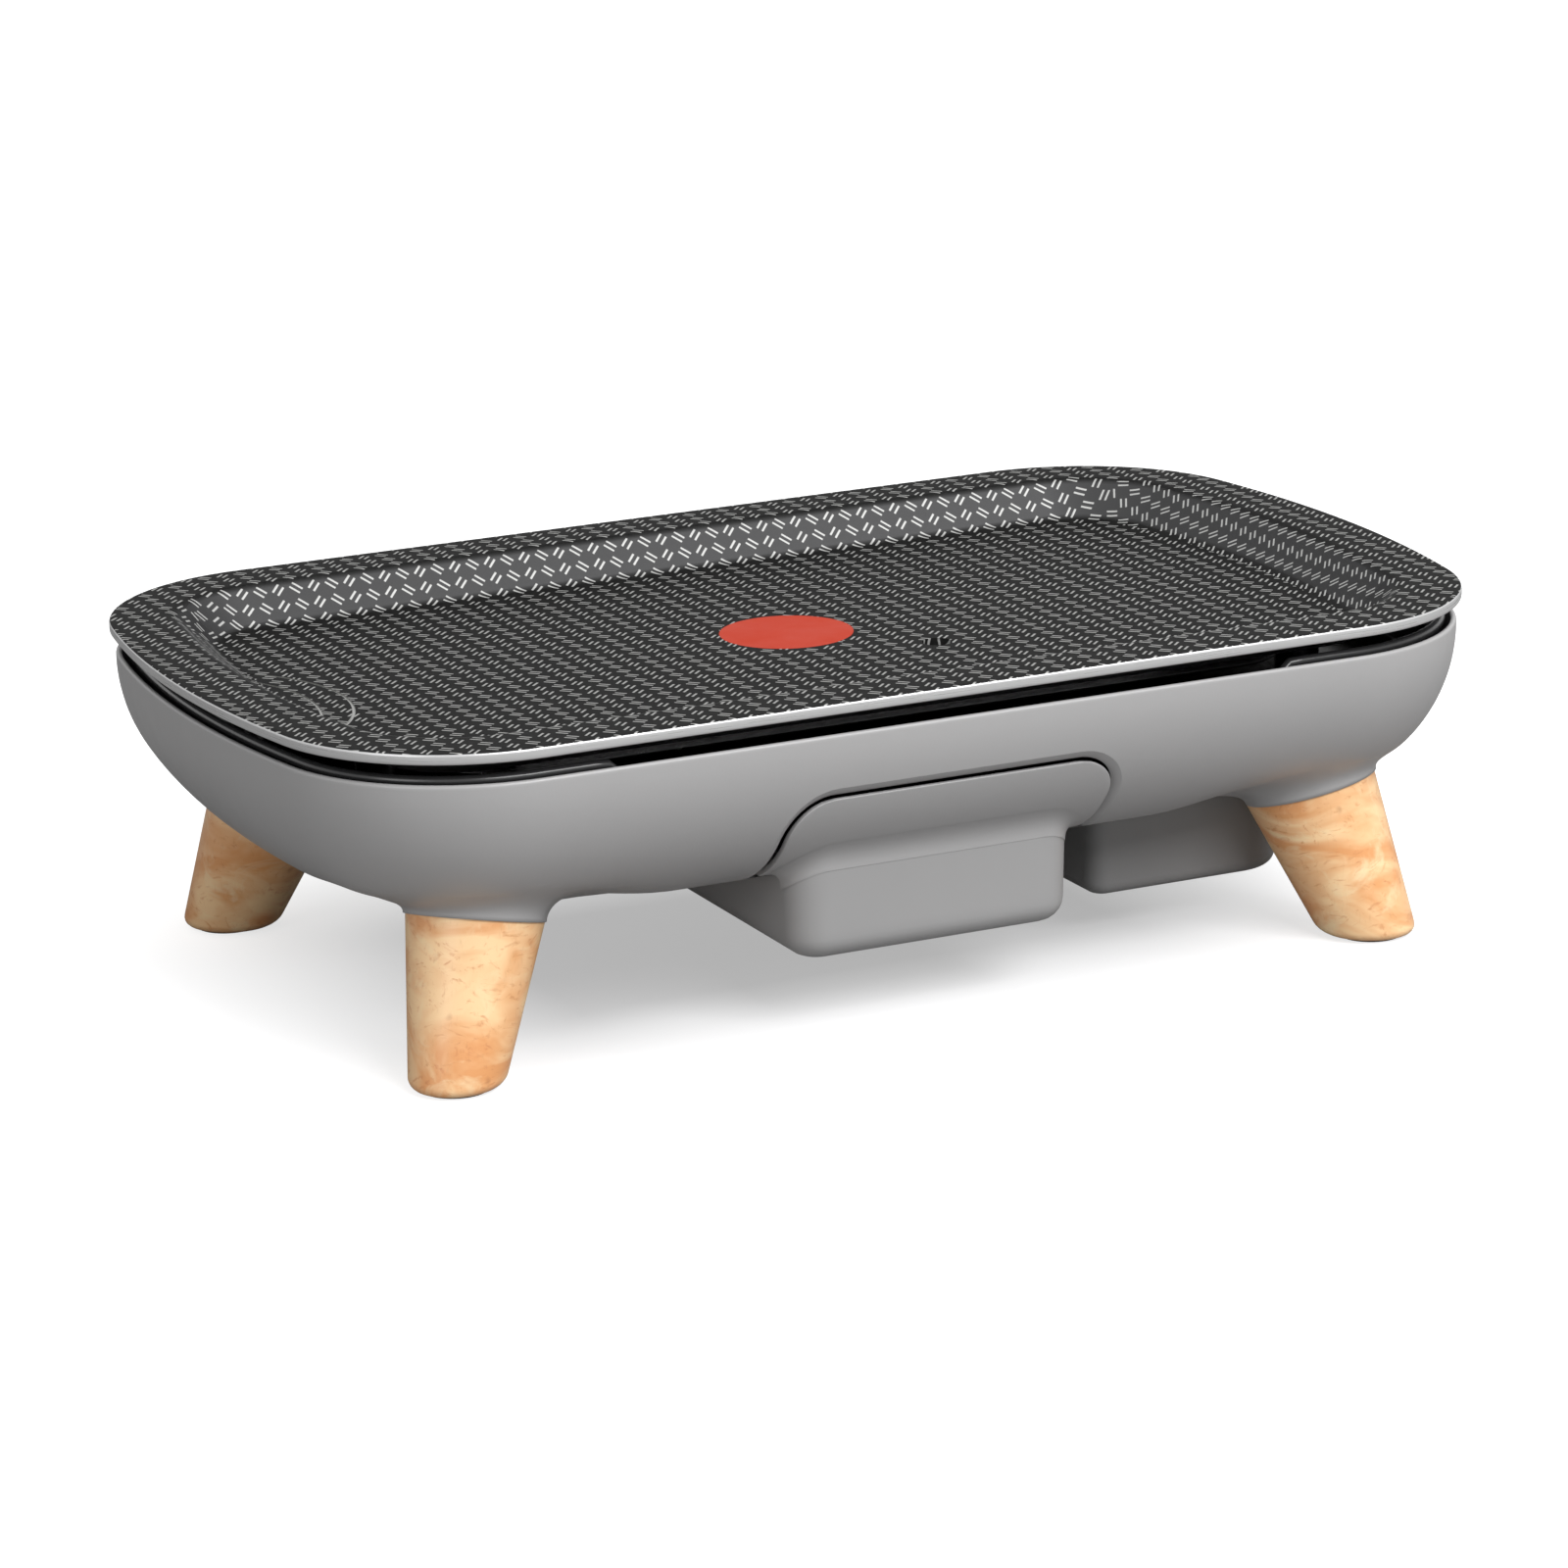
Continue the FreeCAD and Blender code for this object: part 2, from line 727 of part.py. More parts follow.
def tray_screw_places():
    return [(f"{side}post_right", f"{depth}post_back") for side in ("-", "") for depth in ("-", "")]


def rail_screw_places():
    return [(f"{side}({RAIL_CENTRE})", depth)
            for side in ("-", "") for depth in ("-rail_screw_front", "rail_screw_back")]


def housing_screw_places():
    return [(x, y)
            for x in ("housing_left + housing_screw_margin", "housing_right - housing_screw_margin")
            for y in ("-housing_front + housing_screw_margin",
                      "housing_back - housing_screw_margin")]


def rest_places():
    for depth_name, depth in (("front", "-"), ("back", "")):
        for side_name, side in (("left", "-"), ("right", "")):
            yield f"{depth_name}_{side_name}", f"{side}rest_right", f"{depth}rest_back"


def heat_tray():
    outside = plate_block(
        "tray_outside", TRAY_INSET, TRAY_TOP, "tray_floor",
        f"plate_corner - ({TRAY_INSET})", "tray_round")
    inset = f"{TRAY_INSET} + tray_wall"
    hollow = plate_block(
        "tray_hollow", inset, TRAY_TOP, TRAY_FLOOR_TOP,
        f"plate_corner - ({inset})", "tray_round - tray_wall")
    stands = [
        rod(f"stand_{name}", "rest_radius",
            f"{UNDERSIDE} - rest_pad_thickness / 2 - ({TRAY_FLOOR_TOP})", x, y, TRAY_FLOOR_TOP)
        for name, x, y in rest_places()]
    stems = [
        rod(f"stem_{count}", "stem_radius", f"reflector_height - ({TRAY_FLOOR_TOP})",
            f"{side}stem_right", f"{depth}stem_back", TRAY_FLOOR_TOP)
        for count, (side, depth) in enumerate((a, b) for a in ("-", "") for b in ("-", ""))]
    filled = join("tray_filled", [cut("tray_bowl", outside, [hollow]), *stands, *stems])
    holes = [
        rod(f"pad_seat_{name}", "rest_pad_radius + 0.1", "rest_pad_thickness",
            x, y, f"{UNDERSIDE} - rest_pad_thickness")
        for name, x, y in rest_places()]
    holes += [
        rod(f"tray_hole_{count}", SCREW_HOLE, "tray_wall + 2", x, y, "tray_floor - 1")
        for count, (x, y) in enumerate(tray_screw_places())]
    holes += [
        rod(f"bush_hole_{side}", "bush_radius + 0.1", "tray_wall + 2",
            "terminal_right", f"{side}heater_inner", "tray_floor - 1")
        for side in ("-", "")]
    holes.append(rod("chute_hole", "chute_radius + 0.2", "tray_wall + 2",
                     "drain_right", "-drain_front", "tray_floor - 1"))
    holes.append(rod("capillary_hole", "capillary_radius + 1", "tray_wall + 2",
                     "terminal_right", "bulb_back", "tray_floor - 1"))
    holes.append(tray_dip())
    piece("heat_tray", cut("tray", filled, holes))
    for name, x, y in rest_places():
        piece(f"rest_pad_{name}", rod(
            f"pad_{name}", "rest_pad_radius", "rest_pad_thickness", x, y,
            f"{UNDERSIDE} - rest_pad_thickness"))


def tray_dip():
    """The long sides of the tray's wall dip between its two raised ends."""
    low = number(f"{TRAY_TOP} - tray_dip")
    half = number("dip_half")
    top = number(TRAY_TOP) + 1
    slope = number("dip_slope")
    side = number("plate_width")
    corners = [
        Vector(-half, -side, low),
        Vector(half, -side, low),
        Vector(half + slope, -side, top),
        Vector(-half - slope, -side, top),
    ]
    face = Part.Face(Part.makePolygon([*corners, corners[0]]))
    item = doc.addObject("Part::Feature", "tray_dip")
    item.Shape = face.extrude(Vector(0, 2 * side, 0))
    return item


def screws(label, places, head_level, length, upward):
    """Pan-head screws in one group; each head has a cross recess."""
    solids = []
    for count, (x, y) in enumerate(places):
        if upward:
            head_low = f"{head_level} - screw_head_height"
            shank_low = head_level
            slot_low = f"{head_level} - screw_head_height - 1"
        else:
            head_low = head_level
            shank_low = f"{head_level} - ({length})"
            slot_low = f"{head_level} + screw_head_height / 2"
        head = rod(f"{label}_head_{count}", "screw_head", "screw_head_height", x, y, head_low)
        shank = rod(f"{label}_shank_{count}", "screw_radius", length, x, y, shank_low)
        slots = []
        for turn, (width, depth) in enumerate((("4", "screw_slot"), ("screw_slot", "4"))):
            slots.append(box(
                f"{label}_slot_{count}_{turn}",
                (f"{x} - {width} / 2", f"{x} + {width} / 2"),
                (f"{y} - {depth} / 2", f"{y} + {depth} / 2"),
                (slot_low, f"{slot_low} + 1 + screw_head_height / 2" if upward
                 else f"{slot_low} + screw_head_height")))
        solids.append(cut(f"{label}_{count}", join(f"{label}_body_{count}", [head, shank]), slots))
    piece(label, group(f"{label}_group", solids))


def reflector():
    half_length = "reflector_length / 2"
    half_width = "reflector_width / 2"
    top = "reflector_height + reflector_rise"
    corners = ["reflector_corner"] * 4
    outside = box_block(
        "reflector_outside", (f"-{half_length}", half_length), (f"-{half_width}", half_width),
        ("reflector_height", top), corners, "sheet * 2")
    inside = ["reflector_corner - sheet"] * 4
    hollow = box_block(
        "reflector_hollow", (f"-{half_length} + sheet", f"{half_length} - sheet"),
        (f"-{half_width} + sheet", f"{half_width} - sheet"),
        (REFLECTOR_TOP, top), inside, "sheet")
    holes = [hollow]
    for side in ("-", ""):
        holes.append(rod(f"reflector_bush_hole_{side}1", "bush_radius + 0.2", "sheet + 2",
                         "terminal_right", f"{side}heater_inner", "reflector_height - 1"))
    holes.append(rod("reflector_chute_hole", "chute_mouth + 1", "sheet + 2",
                     "drain_right", "-drain_front", "reflector_height - 1"))
    holes.append(rod("reflector_capillary_hole", "capillary_radius + 1", "sheet + 2",
                     "terminal_right", "bulb_back", "reflector_height - 1"))
    piece("reflector", cut("reflector_sheet", outside, holes))


def heater():
    level = HEATER_LEVEL
    reach = "heater_reach"
    inner = "heater_inner"
    outer = "heater_outer"
    loop_left = f"-{reach}"
    loop_right = f"{reach}"
    half_loop = [
        ("terminal_right", f"-{inner}", "terminal_low"),
        ("terminal_right", f"-{inner}", level),
        (loop_left, f"-{inner}", level),
        (loop_left, f"-{outer}", level),
        (loop_right, f"-{outer}", level),
    ]
    other_half = [(x, y.lstrip("-"), z) for x, y, z in reversed(half_loop)]
    route = [point(*place) for place in half_loop + other_half]
    ends = number("terminal_bend")
    bends = [ends] + [number("heater_bend")] * (len(route) - 4) + [ends]
    piece("heater_tube", tube("heater", number("heater_radius"), route, bends))
    for side_name, side in (("front", "-"), ("back", "")):
        y = f"{side}{inner}"
        sleeve = rod(f"bush_{side_name}", "bush_radius", "reflector_height - tray_floor + 4",
                     "terminal_right", y, "tray_floor - 4")
        flange = rod(f"bush_flange_{side_name}", "bush_flange",
                     f"reflector_height - ({TRAY_FLOOR_TOP})", "terminal_right", y, TRAY_FLOOR_TOP)
        bore = rod(f"bush_bore_{side_name}", "heater_radius + 0.1", "40",
                   "terminal_right", y, "tray_floor - 10")
        piece(f"heater_bush_{side_name}", cut(
            f"bush_{side_name}_bored", join(f"bush_{side_name}_body", [sleeve, flange]), [bore]))
    for depth_name, depth in (("front", "-"), ("back", "")):
        for side_name, side in (("left", "-"), ("right", "")):
            name = f"{depth_name}_{side_name}"
            x = f"{side}clip_right"
            y = f"{depth}{outer}"
            saddle = box(
                f"saddle_{name}", (f"{x} - clip_length / 2", f"{x} + clip_length / 2"),
                (f"{y} - clip_width / 2", f"{y} + clip_width / 2"),
                (REFLECTOR_TOP, level))
            groove = rod(f"saddle_groove_{name}", "heater_radius + 0.05", "clip_length + 2",
                         f"{x} - clip_length / 2 - 1", y, level, "X")
            piece(f"heater_clip_{name}", cut(f"clip_{name}", saddle, [groove]))


def sensor():
    level = f"{UNDERSIDE} - heater_drop - bulb_radius"
    bulb = rod("bulb", "bulb_radius", "bulb_length", "-bulb_length / 2", "bulb_back", level, "X")
    cradle = box("bulb_cradle", ("-clip_length / 2", "clip_length / 2"),
                 ("bulb_back - bulb_radius - 1", "bulb_back + bulb_radius + 1"),
                 (REFLECTOR_TOP, level))
    piece("sensor_bulb", join("bulb_and_cradle", [bulb, cradle]))
    route = [
        point("bulb_length / 2", "bulb_back", level),
        point("terminal_right", "bulb_back", level),
        point("terminal_right", "bulb_back", "tray_floor - 14"),
        point("terminal_right - 6", "-1", "shell_floor + 9"),
        point("terminal_right - 6", "-1", "shell_floor - 11"),
        point(f"{HOUSING_WALL_IN} - thermostat_depth - 8", "dial_back - 6", "dial_height + 4"),
        point(f"{HOUSING_WALL_IN} - thermostat_depth", "dial_back - 6", "dial_height + 4"),
    ]
    piece("capillary_tube", tube("capillary", number("capillary_radius"), route, 8))


def chute():
    place = ("drain_right", "-drain_front")
    pipe = rod("chute_pipe", "chute_radius", f"chute_top - 4 - chute_low", *place, "chute_low")
    mouth = cone("chute_mouth_cone", "chute_radius", "chute_mouth", "4", *place, "chute_top - 4")
    flange = rod("chute_flange_ring", "chute_flange", "1.6", *place, TRAY_FLOOR_TOP)
    bore = rod("chute_bore_hole", "chute_bore", "chute_top - chute_low + 2", *place, "chute_low - 1")
    funnel = cone("chute_funnel", "chute_bore", "chute_mouth - 1", "4.2", *place, "chute_top - 4")
    piece("drain_chute", cut("chute", join("chute_body", [pipe, mouth, flange]), [bore, funnel]))


def legs(skin):
    for name, (foot, axis, seat, normal) in every_leg():
        below_floor = "leg_radius / 2"
        length = "2 * seat_height"
        blank = doc.addObject("Part::Cone", f"leg_blank_{name}")
        bind(blank, {
            "Radius1": f"leg_radius - {below_floor} * leg_taper",
            "Radius2": f"leg_radius + ({length} - {below_floor}) * leg_taper",
            "Height": length,
        })
        along(blank, foot - axis * number(below_floor), axis)
        above = doc.addObject("Part::Box", f"above_{name}")
        reach = 6 * number("leg_radius")
        bind(above, {"Length": "12 * leg_radius", "Width": "12 * leg_radius", "Height": length})
        spin = Rotation(Vector(0, 0, 1), normal)
        above.Placement = Placement(seat - spin.multVec(Vector(reach, reach, 0)), spin)
        below = box(f"below_{name}", ("-plate_length", "plate_length"),
                    ("-plate_width", "plate_width"), ("-seat_height", "pad_thickness"))
        bore = leaning_rod(f"leg_bore_{name}", "stud_radius + stud_gap", "stud_depth + 1",
                           seat - normal * number("stud_depth"), normal)
        shaped = cut(f"leg_shape_{name}", blank, [above, below, bore, skin])
        level = number("pad_thickness")
        piece(f"leg_{name}", round_edges(
            f"leg_{name}_edge", shaped, lambda edge: at_level(edge, level), "leg_edge"))
        length = "stud_depth + boss_height + nut_height + 2"
        piece(f"leg_stud_{name}", leaning_rod(
            f"stud_{name}", "stud_radius", length, seat - normal * number("stud_depth"), normal))
        nut = doc.addObject("Part::Prism", f"nut_blank_{name}")
        bind(nut, {"Circumradius": "nut_width / sqrt(3)", "Height": "nut_height"})
        nut.Polygon = 6
        top = seat + normal * number("boss_height")
        along(nut, top, normal)
        hole = leaning_rod(f"nut_hole_{name}", "stud_radius + stud_gap", "nut_height + 2",
                           top - normal, normal)
        piece(f"leg_nut_{name}", cut(f"nut_{name}", nut, [hole]))
        piece(f"foot_pad_{name}", rod(
            f"pad_disc_{name}", "pad_radius", "pad_thickness",
            str(foot.x + axis.x / axis.z * level), str(foot.y + axis.y / axis.z * level), "0"))


def drawer(hollow, wall):
    """The drip drawer: a curved panel that closes the shell's cut-out, and the bin behind it."""
    half_panel = "panel_width / 2"
    panel_arch = box("panel_arch", (f"-{half_panel}", half_panel),
                     ("-plate_width", "-rail_front"), ("panel_low", "panel_top"))
    level = number("panel_top")
    panel_cutter = round_edges(
        "panel_cutter", panel_arch, lambda edge: along_y(edge) and at_level(edge, level),
        "panel_corner")
    panel = common("panel", wall, panel_cutter)
    half_bin = "bin_width / 2"
    corners = ("bin_corner", "bin_corner", "bin_rear_corner", "bin_rear_corner")
    tub = box_block(
        "bin_outside", (f"-{half_bin}", half_bin), ("-bin_front", "bin_back"),
        ("bin_low", "bin_high + 6"), corners, "bin_foot", "-bin_draft")
    inside = [f"{corner} - bin_wall" for corner in corners]
    hole = box_block(
        "bin_inside", (f"-{half_bin} + bin_wall", f"{half_bin} - bin_wall"),
        ("-bin_front + bin_wall", "bin_back - bin_wall"),
        ("bin_low + bin_wall", "bin_high + 6"), inside, "bin_foot - bin_wall", "-bin_draft")
    rim_cut = box("bin_rim_cut", ("-bin_width", "bin_width"),
                  ("-bin_front + bin_wall + 3", "bin_back + 1"), ("bin_high", "bin_high + 10"))
    lips = [
        box(f"lip_{side}", x, ("-rail_front - 12", "bin_back - bin_rear_corner"),
            ("lip_low", LIP_TOP))
        for side, x in (
            ("left", (f"-{half_panel}", f"-{half_bin} + bin_wall / 2")),
            ("right", (f"{half_bin} - bin_wall / 2", half_panel)))]
    tub_with_panel = join("drawer_solid", [cut("tub", tub, [rim_cut]), panel, *lips])
    piece("drip_drawer", cut("drawer", tub_with_panel, [hole]))


def rails(hollow):
    """Channel rails on the shell's floor, which hold the drawer's lips from both sides."""
    inner = "bin_width / 2 + rail_gap + 2"
    outer = "panel_width / 2 + rail_gap"
    web = f"{outer} + rail_web"
    for side_name, side in (("left", "-"), ("right", "")):
        def across(low, high):
            return (f"-({high})", f"-({low})") if side else (low, high)
        length = ("-rail_front", "bin_back + 4")
        bar = box(f"rail_bar_{side_name}", across(inner, web), length,
                  ("shell_floor", "lip_low - rail_gap"))
        back = box(f"rail_web_{side_name}", across(outer, web), length,
                   ("shell_floor", f"{LIP_TOP} + rail_gap + 2"))
        hook = box(f"rail_hook_{side_name}", across(f"{outer} - rail_hook", web), length,
                   (f"{LIP_TOP} + rail_gap", f"{LIP_TOP} + rail_gap + 2"))
        stop = box(f"rail_stop_{side_name}", across(inner, web),
                   ("bin_back + 0.5", "bin_back + 4"),
                   ("shell_floor", f"{LIP_TOP} + rail_gap + 2"))
        blank = join(f"rail_blank_{side_name}", [bar, back, hook, stop])
        inside = common(f"rail_inside_{side_name}", blank, hollow)
        holes = [
            rod(f"rail_bite_{side_name}_{count}", SCREW_HOLE, "8", x, y, "shell_floor")
            for count, (x, y) in enumerate(rail_screw_places())
            if (number(x) < 0) == (side == "-")]
        piece(f"drawer_rail_{side_name}", cut(f"rail_{side_name}", inside, holes))


def housing(skin):
    """The tub below the shell's floor that holds the thermostat and the mains inlet."""
    x = ("housing_left", "housing_right")
    y = ("-housing_front", "housing_back")
    corners = ("housing_inner_corner", "housing_corner", "housing_corner", "housing_inner_corner")
    tub = box_block("housing_outside", x, y, ("housing_low", "shell_floor + 8"),
                    corners, "housing_foot")
    hole = box_block(
        "housing_inside", ("housing_left + housing_wall", HOUSING_WALL_IN),
        ("-housing_front + housing_wall", "housing_back - housing_wall"),
        (HOUSING_FLOOR_TOP, "shell_floor + 8"),
        [f"{corner} - housing_wall" for corner in corners], "housing_foot - housing_wall")
    posts = [
        rod(f"housing_post_{count}", "housing_post_radius", "shell_floor - housing_low",
            px, py, "housing_low")
        for count, (px, py) in enumerate(housing_screw_places())]
    bores = [
        rod(f"housing_bore_{count}", SCREW_HOLE, "shell_floor", px, py, "housing_low - 1")
        for count, (px, py) in enumerate(housing_screw_places())]
    sinks = [
        rod(f"housing_sink_{count}", "screw_head + 0.3", "screw_head_height + 1.2",
            px, py, "housing_low - 1")
        for count, (px, py) in enumerate(housing_screw_places())]
    shaft_hole = rod("shaft_hole", "shaft_radius + 0.4", "housing_wall + 2",
                     f"{HOUSING_WALL_IN} - 1", "dial_back", "dial_height", "X")
    lens_hole = rod("lens_hole", "lens_radius + 0.1", "housing_wall + 2",
                    f"{HOUSING_WALL_IN} - 1", "-lamp_front", "dial_height", "X")
    half_inlet = "(inlet_width / 2 + 0.1)"
    inlet_hole = box(
        "inlet_hole", (f"inlet_right - {half_inlet}", f"inlet_right + {half_inlet}"),
        ("housing_back - housing_wall - 1", "housing_back + 1"),
        (f"{INLET_LOW} - 0.1", f"{INLET_LOW} + inlet_height + 0.1"))
    shell_of_tub = join("housing_walls", [cut("housing_tub", tub, [hole]), *posts])
    piece("control_housing", cut(
        "housing", shell_of_tub, [skin, *bores, *sinks, shaft_hole, lens_hole, inlet_hole]))


def controls():
    left = f"{HOUSING_WALL_IN} - thermostat_depth"
    case = box("thermostat_case", (left, HOUSING_WALL_IN),
               ("dial_back - thermostat_width / 2", "dial_back + thermostat_width / 2"),
               ("dial_height - thermostat_height / 2", "dial_height + thermostat_height / 2"))
    bore = rod("thermostat_bore", "shaft_radius + shaft_gap", "thermostat_depth / 2",
               f"{HOUSING_WALL_IN} - thermostat_depth / 2 + 0.5", "dial_back", "dial_height", "X")
    piece("thermostat", cut("thermostat_bored", case, [bore]))
    shaft_length = "thermostat_depth / 2 - 1 + housing_wall + shaft_out"
    piece("knob_shaft", rod("shaft", "shaft_radius", shaft_length,
                            f"{HOUSING_WALL_IN} - thermostat_depth / 2 + 1",
                            "dial_back", "dial_height", "X"))
    knob_start = "housing_right + knob_gap"
    body = cone("knob_body", "knob_radius", "knob_radius - 1", "knob_depth",
                knob_start, "dial_back", "dial_height", "X")
    tools = [rod("knob_bore", "shaft_radius + shaft_gap", "shaft_out - knob_gap + 0.5",
                 knob_start, "dial_back", "dial_height", "X")]
    flutes = 12
    for count in range(flutes):
        angle = 360 * (count + 0.5) / flutes
        tools.append(rod(
            f"knob_flute_{count}", "knob_flute", "knob_depth",
            f"{knob_start} + 3", f"dial_back + knob_radius * cos({angle})",
            f"dial_height + knob_radius * sin({angle})", "X"))
    tools.append(box(
        "knob_pointer", (f"{knob_start} + knob_depth - 0.8", f"{knob_start} + knob_depth + 1"),
        ("dial_back - 0.7", "dial_back + 0.7"), ("dial_height + 3", "dial_height + knob_radius")))
    piece("thermostat_knob", cut("knob", body, tools))
    lamp_start = f"{HOUSING_WALL_IN} - lamp_length"
    lamp = rod("lamp", "lamp_radius", "lamp_length", lamp_start, "-lamp_front", "dial_height", "X")
    socket = box("lamp_socket", (f"{lamp_start} + 1", f"{lamp_start} + 5"),
                 ("-lamp_front - 4", "-lamp_front + 4"), (HOUSING_FLOOR_TOP, "dial_height"))
    piece("pilot_lamp", join("lamp_and_socket", [lamp, socket]))
    lens = rod("lens", "lens_radius", "housing_wall + lens_out",
               HOUSING_WALL_IN, "-lamp_front", "dial_height", "X")
    piece("pilot_lens", lens)


def mains_parts():
    back = "housing_back"
    half = "inlet_width / 2"
    z = (INLET_LOW, f"{INLET_LOW} + inlet_height")
    block = box("inlet_block", (f"inlet_right - {half}", f"inlet_right + {half}"),
                (f"{back} - inlet_depth", back), z)
    flange = box("inlet_flange_plate",
                 (f"inlet_right - {half} - inlet_flange", f"inlet_right + {half} + inlet_flange"),
                 (f"{back} - housing_wall - 2", f"{back} - housing_wall"),
                 (f"{z[0]} - inlet_flange", f"{z[1]} + inlet_flange"))
    socket = box("inlet_socket",
                 (f"inlet_right - {half} + inlet_wall", f"inlet_right + {half} - inlet_wall"),
                 (f"{back} - inlet_depth + inlet_base", f"{back} + 1"),
                 (f"{z[0]} + inlet_wall", f"{z[1]} - inlet_wall"))
    middle = f"({z[0]} + {z[1]}) / 2"
    pins = {
        "neutral": ("inlet_right - pin_spread", f"{middle} - pin_rise / 2"),
        "earth": ("inlet_right", f"{middle} + pin_rise"),
        "live": ("inlet_right + pin_spread", f"{middle} - pin_rise / 2"),
    }
    slots = []
    for pin, (x, height) in pins.items():
        across = (f"{x} - pin_thickness / 2", f"{x} + pin_thickness / 2")
        rise = (f"{height} - pin_width / 2", f"{height} + pin_width / 2")
        solid = box(f"pin_{pin}", across, (f"{back} - inlet_depth - pin_tail", f"{back} - pin_set_back"), rise)
        slots.append(box(f"pin_slot_{pin}", across,
                         (f"{back} - inlet_depth - pin_tail", f"{back} - pin_set_back"), rise))
        piece(f"inlet_pin_{pin}", solid)
    piece("mains_inlet", cut("inlet", join("inlet_body", [block, flange]), [socket, *slots]))
    start = "housing_left + housing_wall + 4"
    piece("terminal_block", box(
        "terminal_block_body", (start, f"{start} + block_length"), ("-block_width", "0"),
        (HOUSING_FLOOR_TOP, f"{HOUSING_FLOOR_TOP} + block_height")))
    piece("thermal_fuse", rod(
        "fuse", "fuse_radius", "fuse_length", f"{start} + block_length / 2 - fuse_length / 2",
        "-block_width / 2", f"{HOUSING_FLOOR_TOP} + block_height + fuse_radius", "X"))
    wires(pins, start)


def wires(pins, block_left):
    """Insulated wires between the inlet, the terminal block, the thermostat and the heater."""
    tab = "housing_back - inlet_depth - pin_tail"
    block_middle = f"{HOUSING_FLOOR_TOP} + block_height / 2"
    block_right = f"{block_left} + block_length"
    thermostat_left = f"{HOUSING_WALL_IN} - thermostat_depth"
    above_floor = "shell_floor + 9"
    live_x, live_z = pins["live"]
    earth_x, earth_z = pins["earth"]
    neutral_x, neutral_z = pins["neutral"]
    routes = {
        "live_wire": [
            (live_x, tab, live_z),
            (live_x, f"{tab} - 10", live_z),
            (f"{thermostat_left} - 9", "dial_back + 10", "dial_height - 6"),
            (thermostat_left, "dial_back + 10", "dial_height - 6"),
        ],
        "neutral_wire": [
            (neutral_x, tab, neutral_z),
            (neutral_x, f"{tab} - 10", neutral_z),
            (f"{block_left} + block_length / 2", "20", block_middle),
            (f"{block_left} + block_length / 2", "0", block_middle),
        ],
        "earth_wire": [
            (earth_x, tab, earth_z),
            (earth_x, f"{tab} - 10", earth_z),
            ("terminal_right", "6", "shell_floor - 8"),
            ("terminal_right", "6", "shell_floor + 24"),
            ("terminal_right - 6", "2", "tray_floor - 8"),
            ("terminal_right - 6", "2", "tray_floor"),
        ],
        "heater_live_wire": [
            (thermostat_left, "dial_back - 12", "dial_height + 2"),
            (f"{thermostat_left} - 9", "dial_back - 12", "dial_height + 2"),
            ("terminal_right + 6.5", "-2", "shell_floor - 7"),
            ("terminal_right + 6", "-2", above_floor),
            ("terminal_right", "heater_inner", "terminal_low - 14"),
            ("terminal_right", "heater_inner", "terminal_low"),
        ],
        "heater_neutral_wire": [
            (block_right, "-block_width / 2", block_middle),
            (f"{block_right} + 8", "-block_width / 2", block_middle),
            (f"{block_right} + 8", "-block_width / 2", "dial_height + 6"),
            ("terminal_right - 3", "-6", "shell_floor - 5"),
            ("terminal_right - 3", "-6", above_floor),
            ("terminal_right", "-heater_inner", "terminal_low - 12"),
            ("terminal_right", "-heater_inner", "terminal_low"),
        ],
    }
    for label, route in routes.items():
        piece(label, tube(
            label, number("wire_radius"), [point(*place) for place in route], number("wire_bend")))


def fasteners():
    screws("tray_screws", tray_screw_places(), TRAY_FLOOR_TOP, "screw_bite", False)
    screws("rail_screws", rail_screw_places(), "shell_floor", "shell_wall + 5", True)
    screws("housing_screws", housing_screw_places(), "housing_low + screw_head_height + 0.2",
           "shell_floor - housing_low + shell_wall + 4", True)


def check(items):
    for item in items:
        if {"Invalid", "Error"} & set(item.State):
            raise RuntimeError(f"{item.Name} failed: {item.State}")
    for item in pieces:
        if item.Shape.isNull() or not item.Shape.isValid():
            raise RuntimeError(f"{item.Label} has no valid shape")


cast_plate()
shell_skin, shell_hollow, shell_wall_solid = shell()
heat_tray()
reflector()
heater()
sensor()
chute()
legs(shell_skin)
drawer(shell_hollow, shell_wall_solid)
rails(shell_hollow)
housing(shell_skin)
controls()
mains_parts()
fasteners()
doc.recompute()
check(doc.Objects)
os.makedirs("parts", exist_ok=True)
for item in pieces:
    item.Shape.exportStep(f"parts/{item.Label}.step")
    print(f"{item.Label}: {len(item.Shape.Solids)} solid(s), {item.Shape.Volume / 1000:.2f} cm3")
print(f"{len(pieces)} sub-parts")
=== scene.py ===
import json
import math
from functools import partial
import bmesh
import bpy
from mathutils import Matrix, Vector
from mathutils.bvhtree import BVHTree


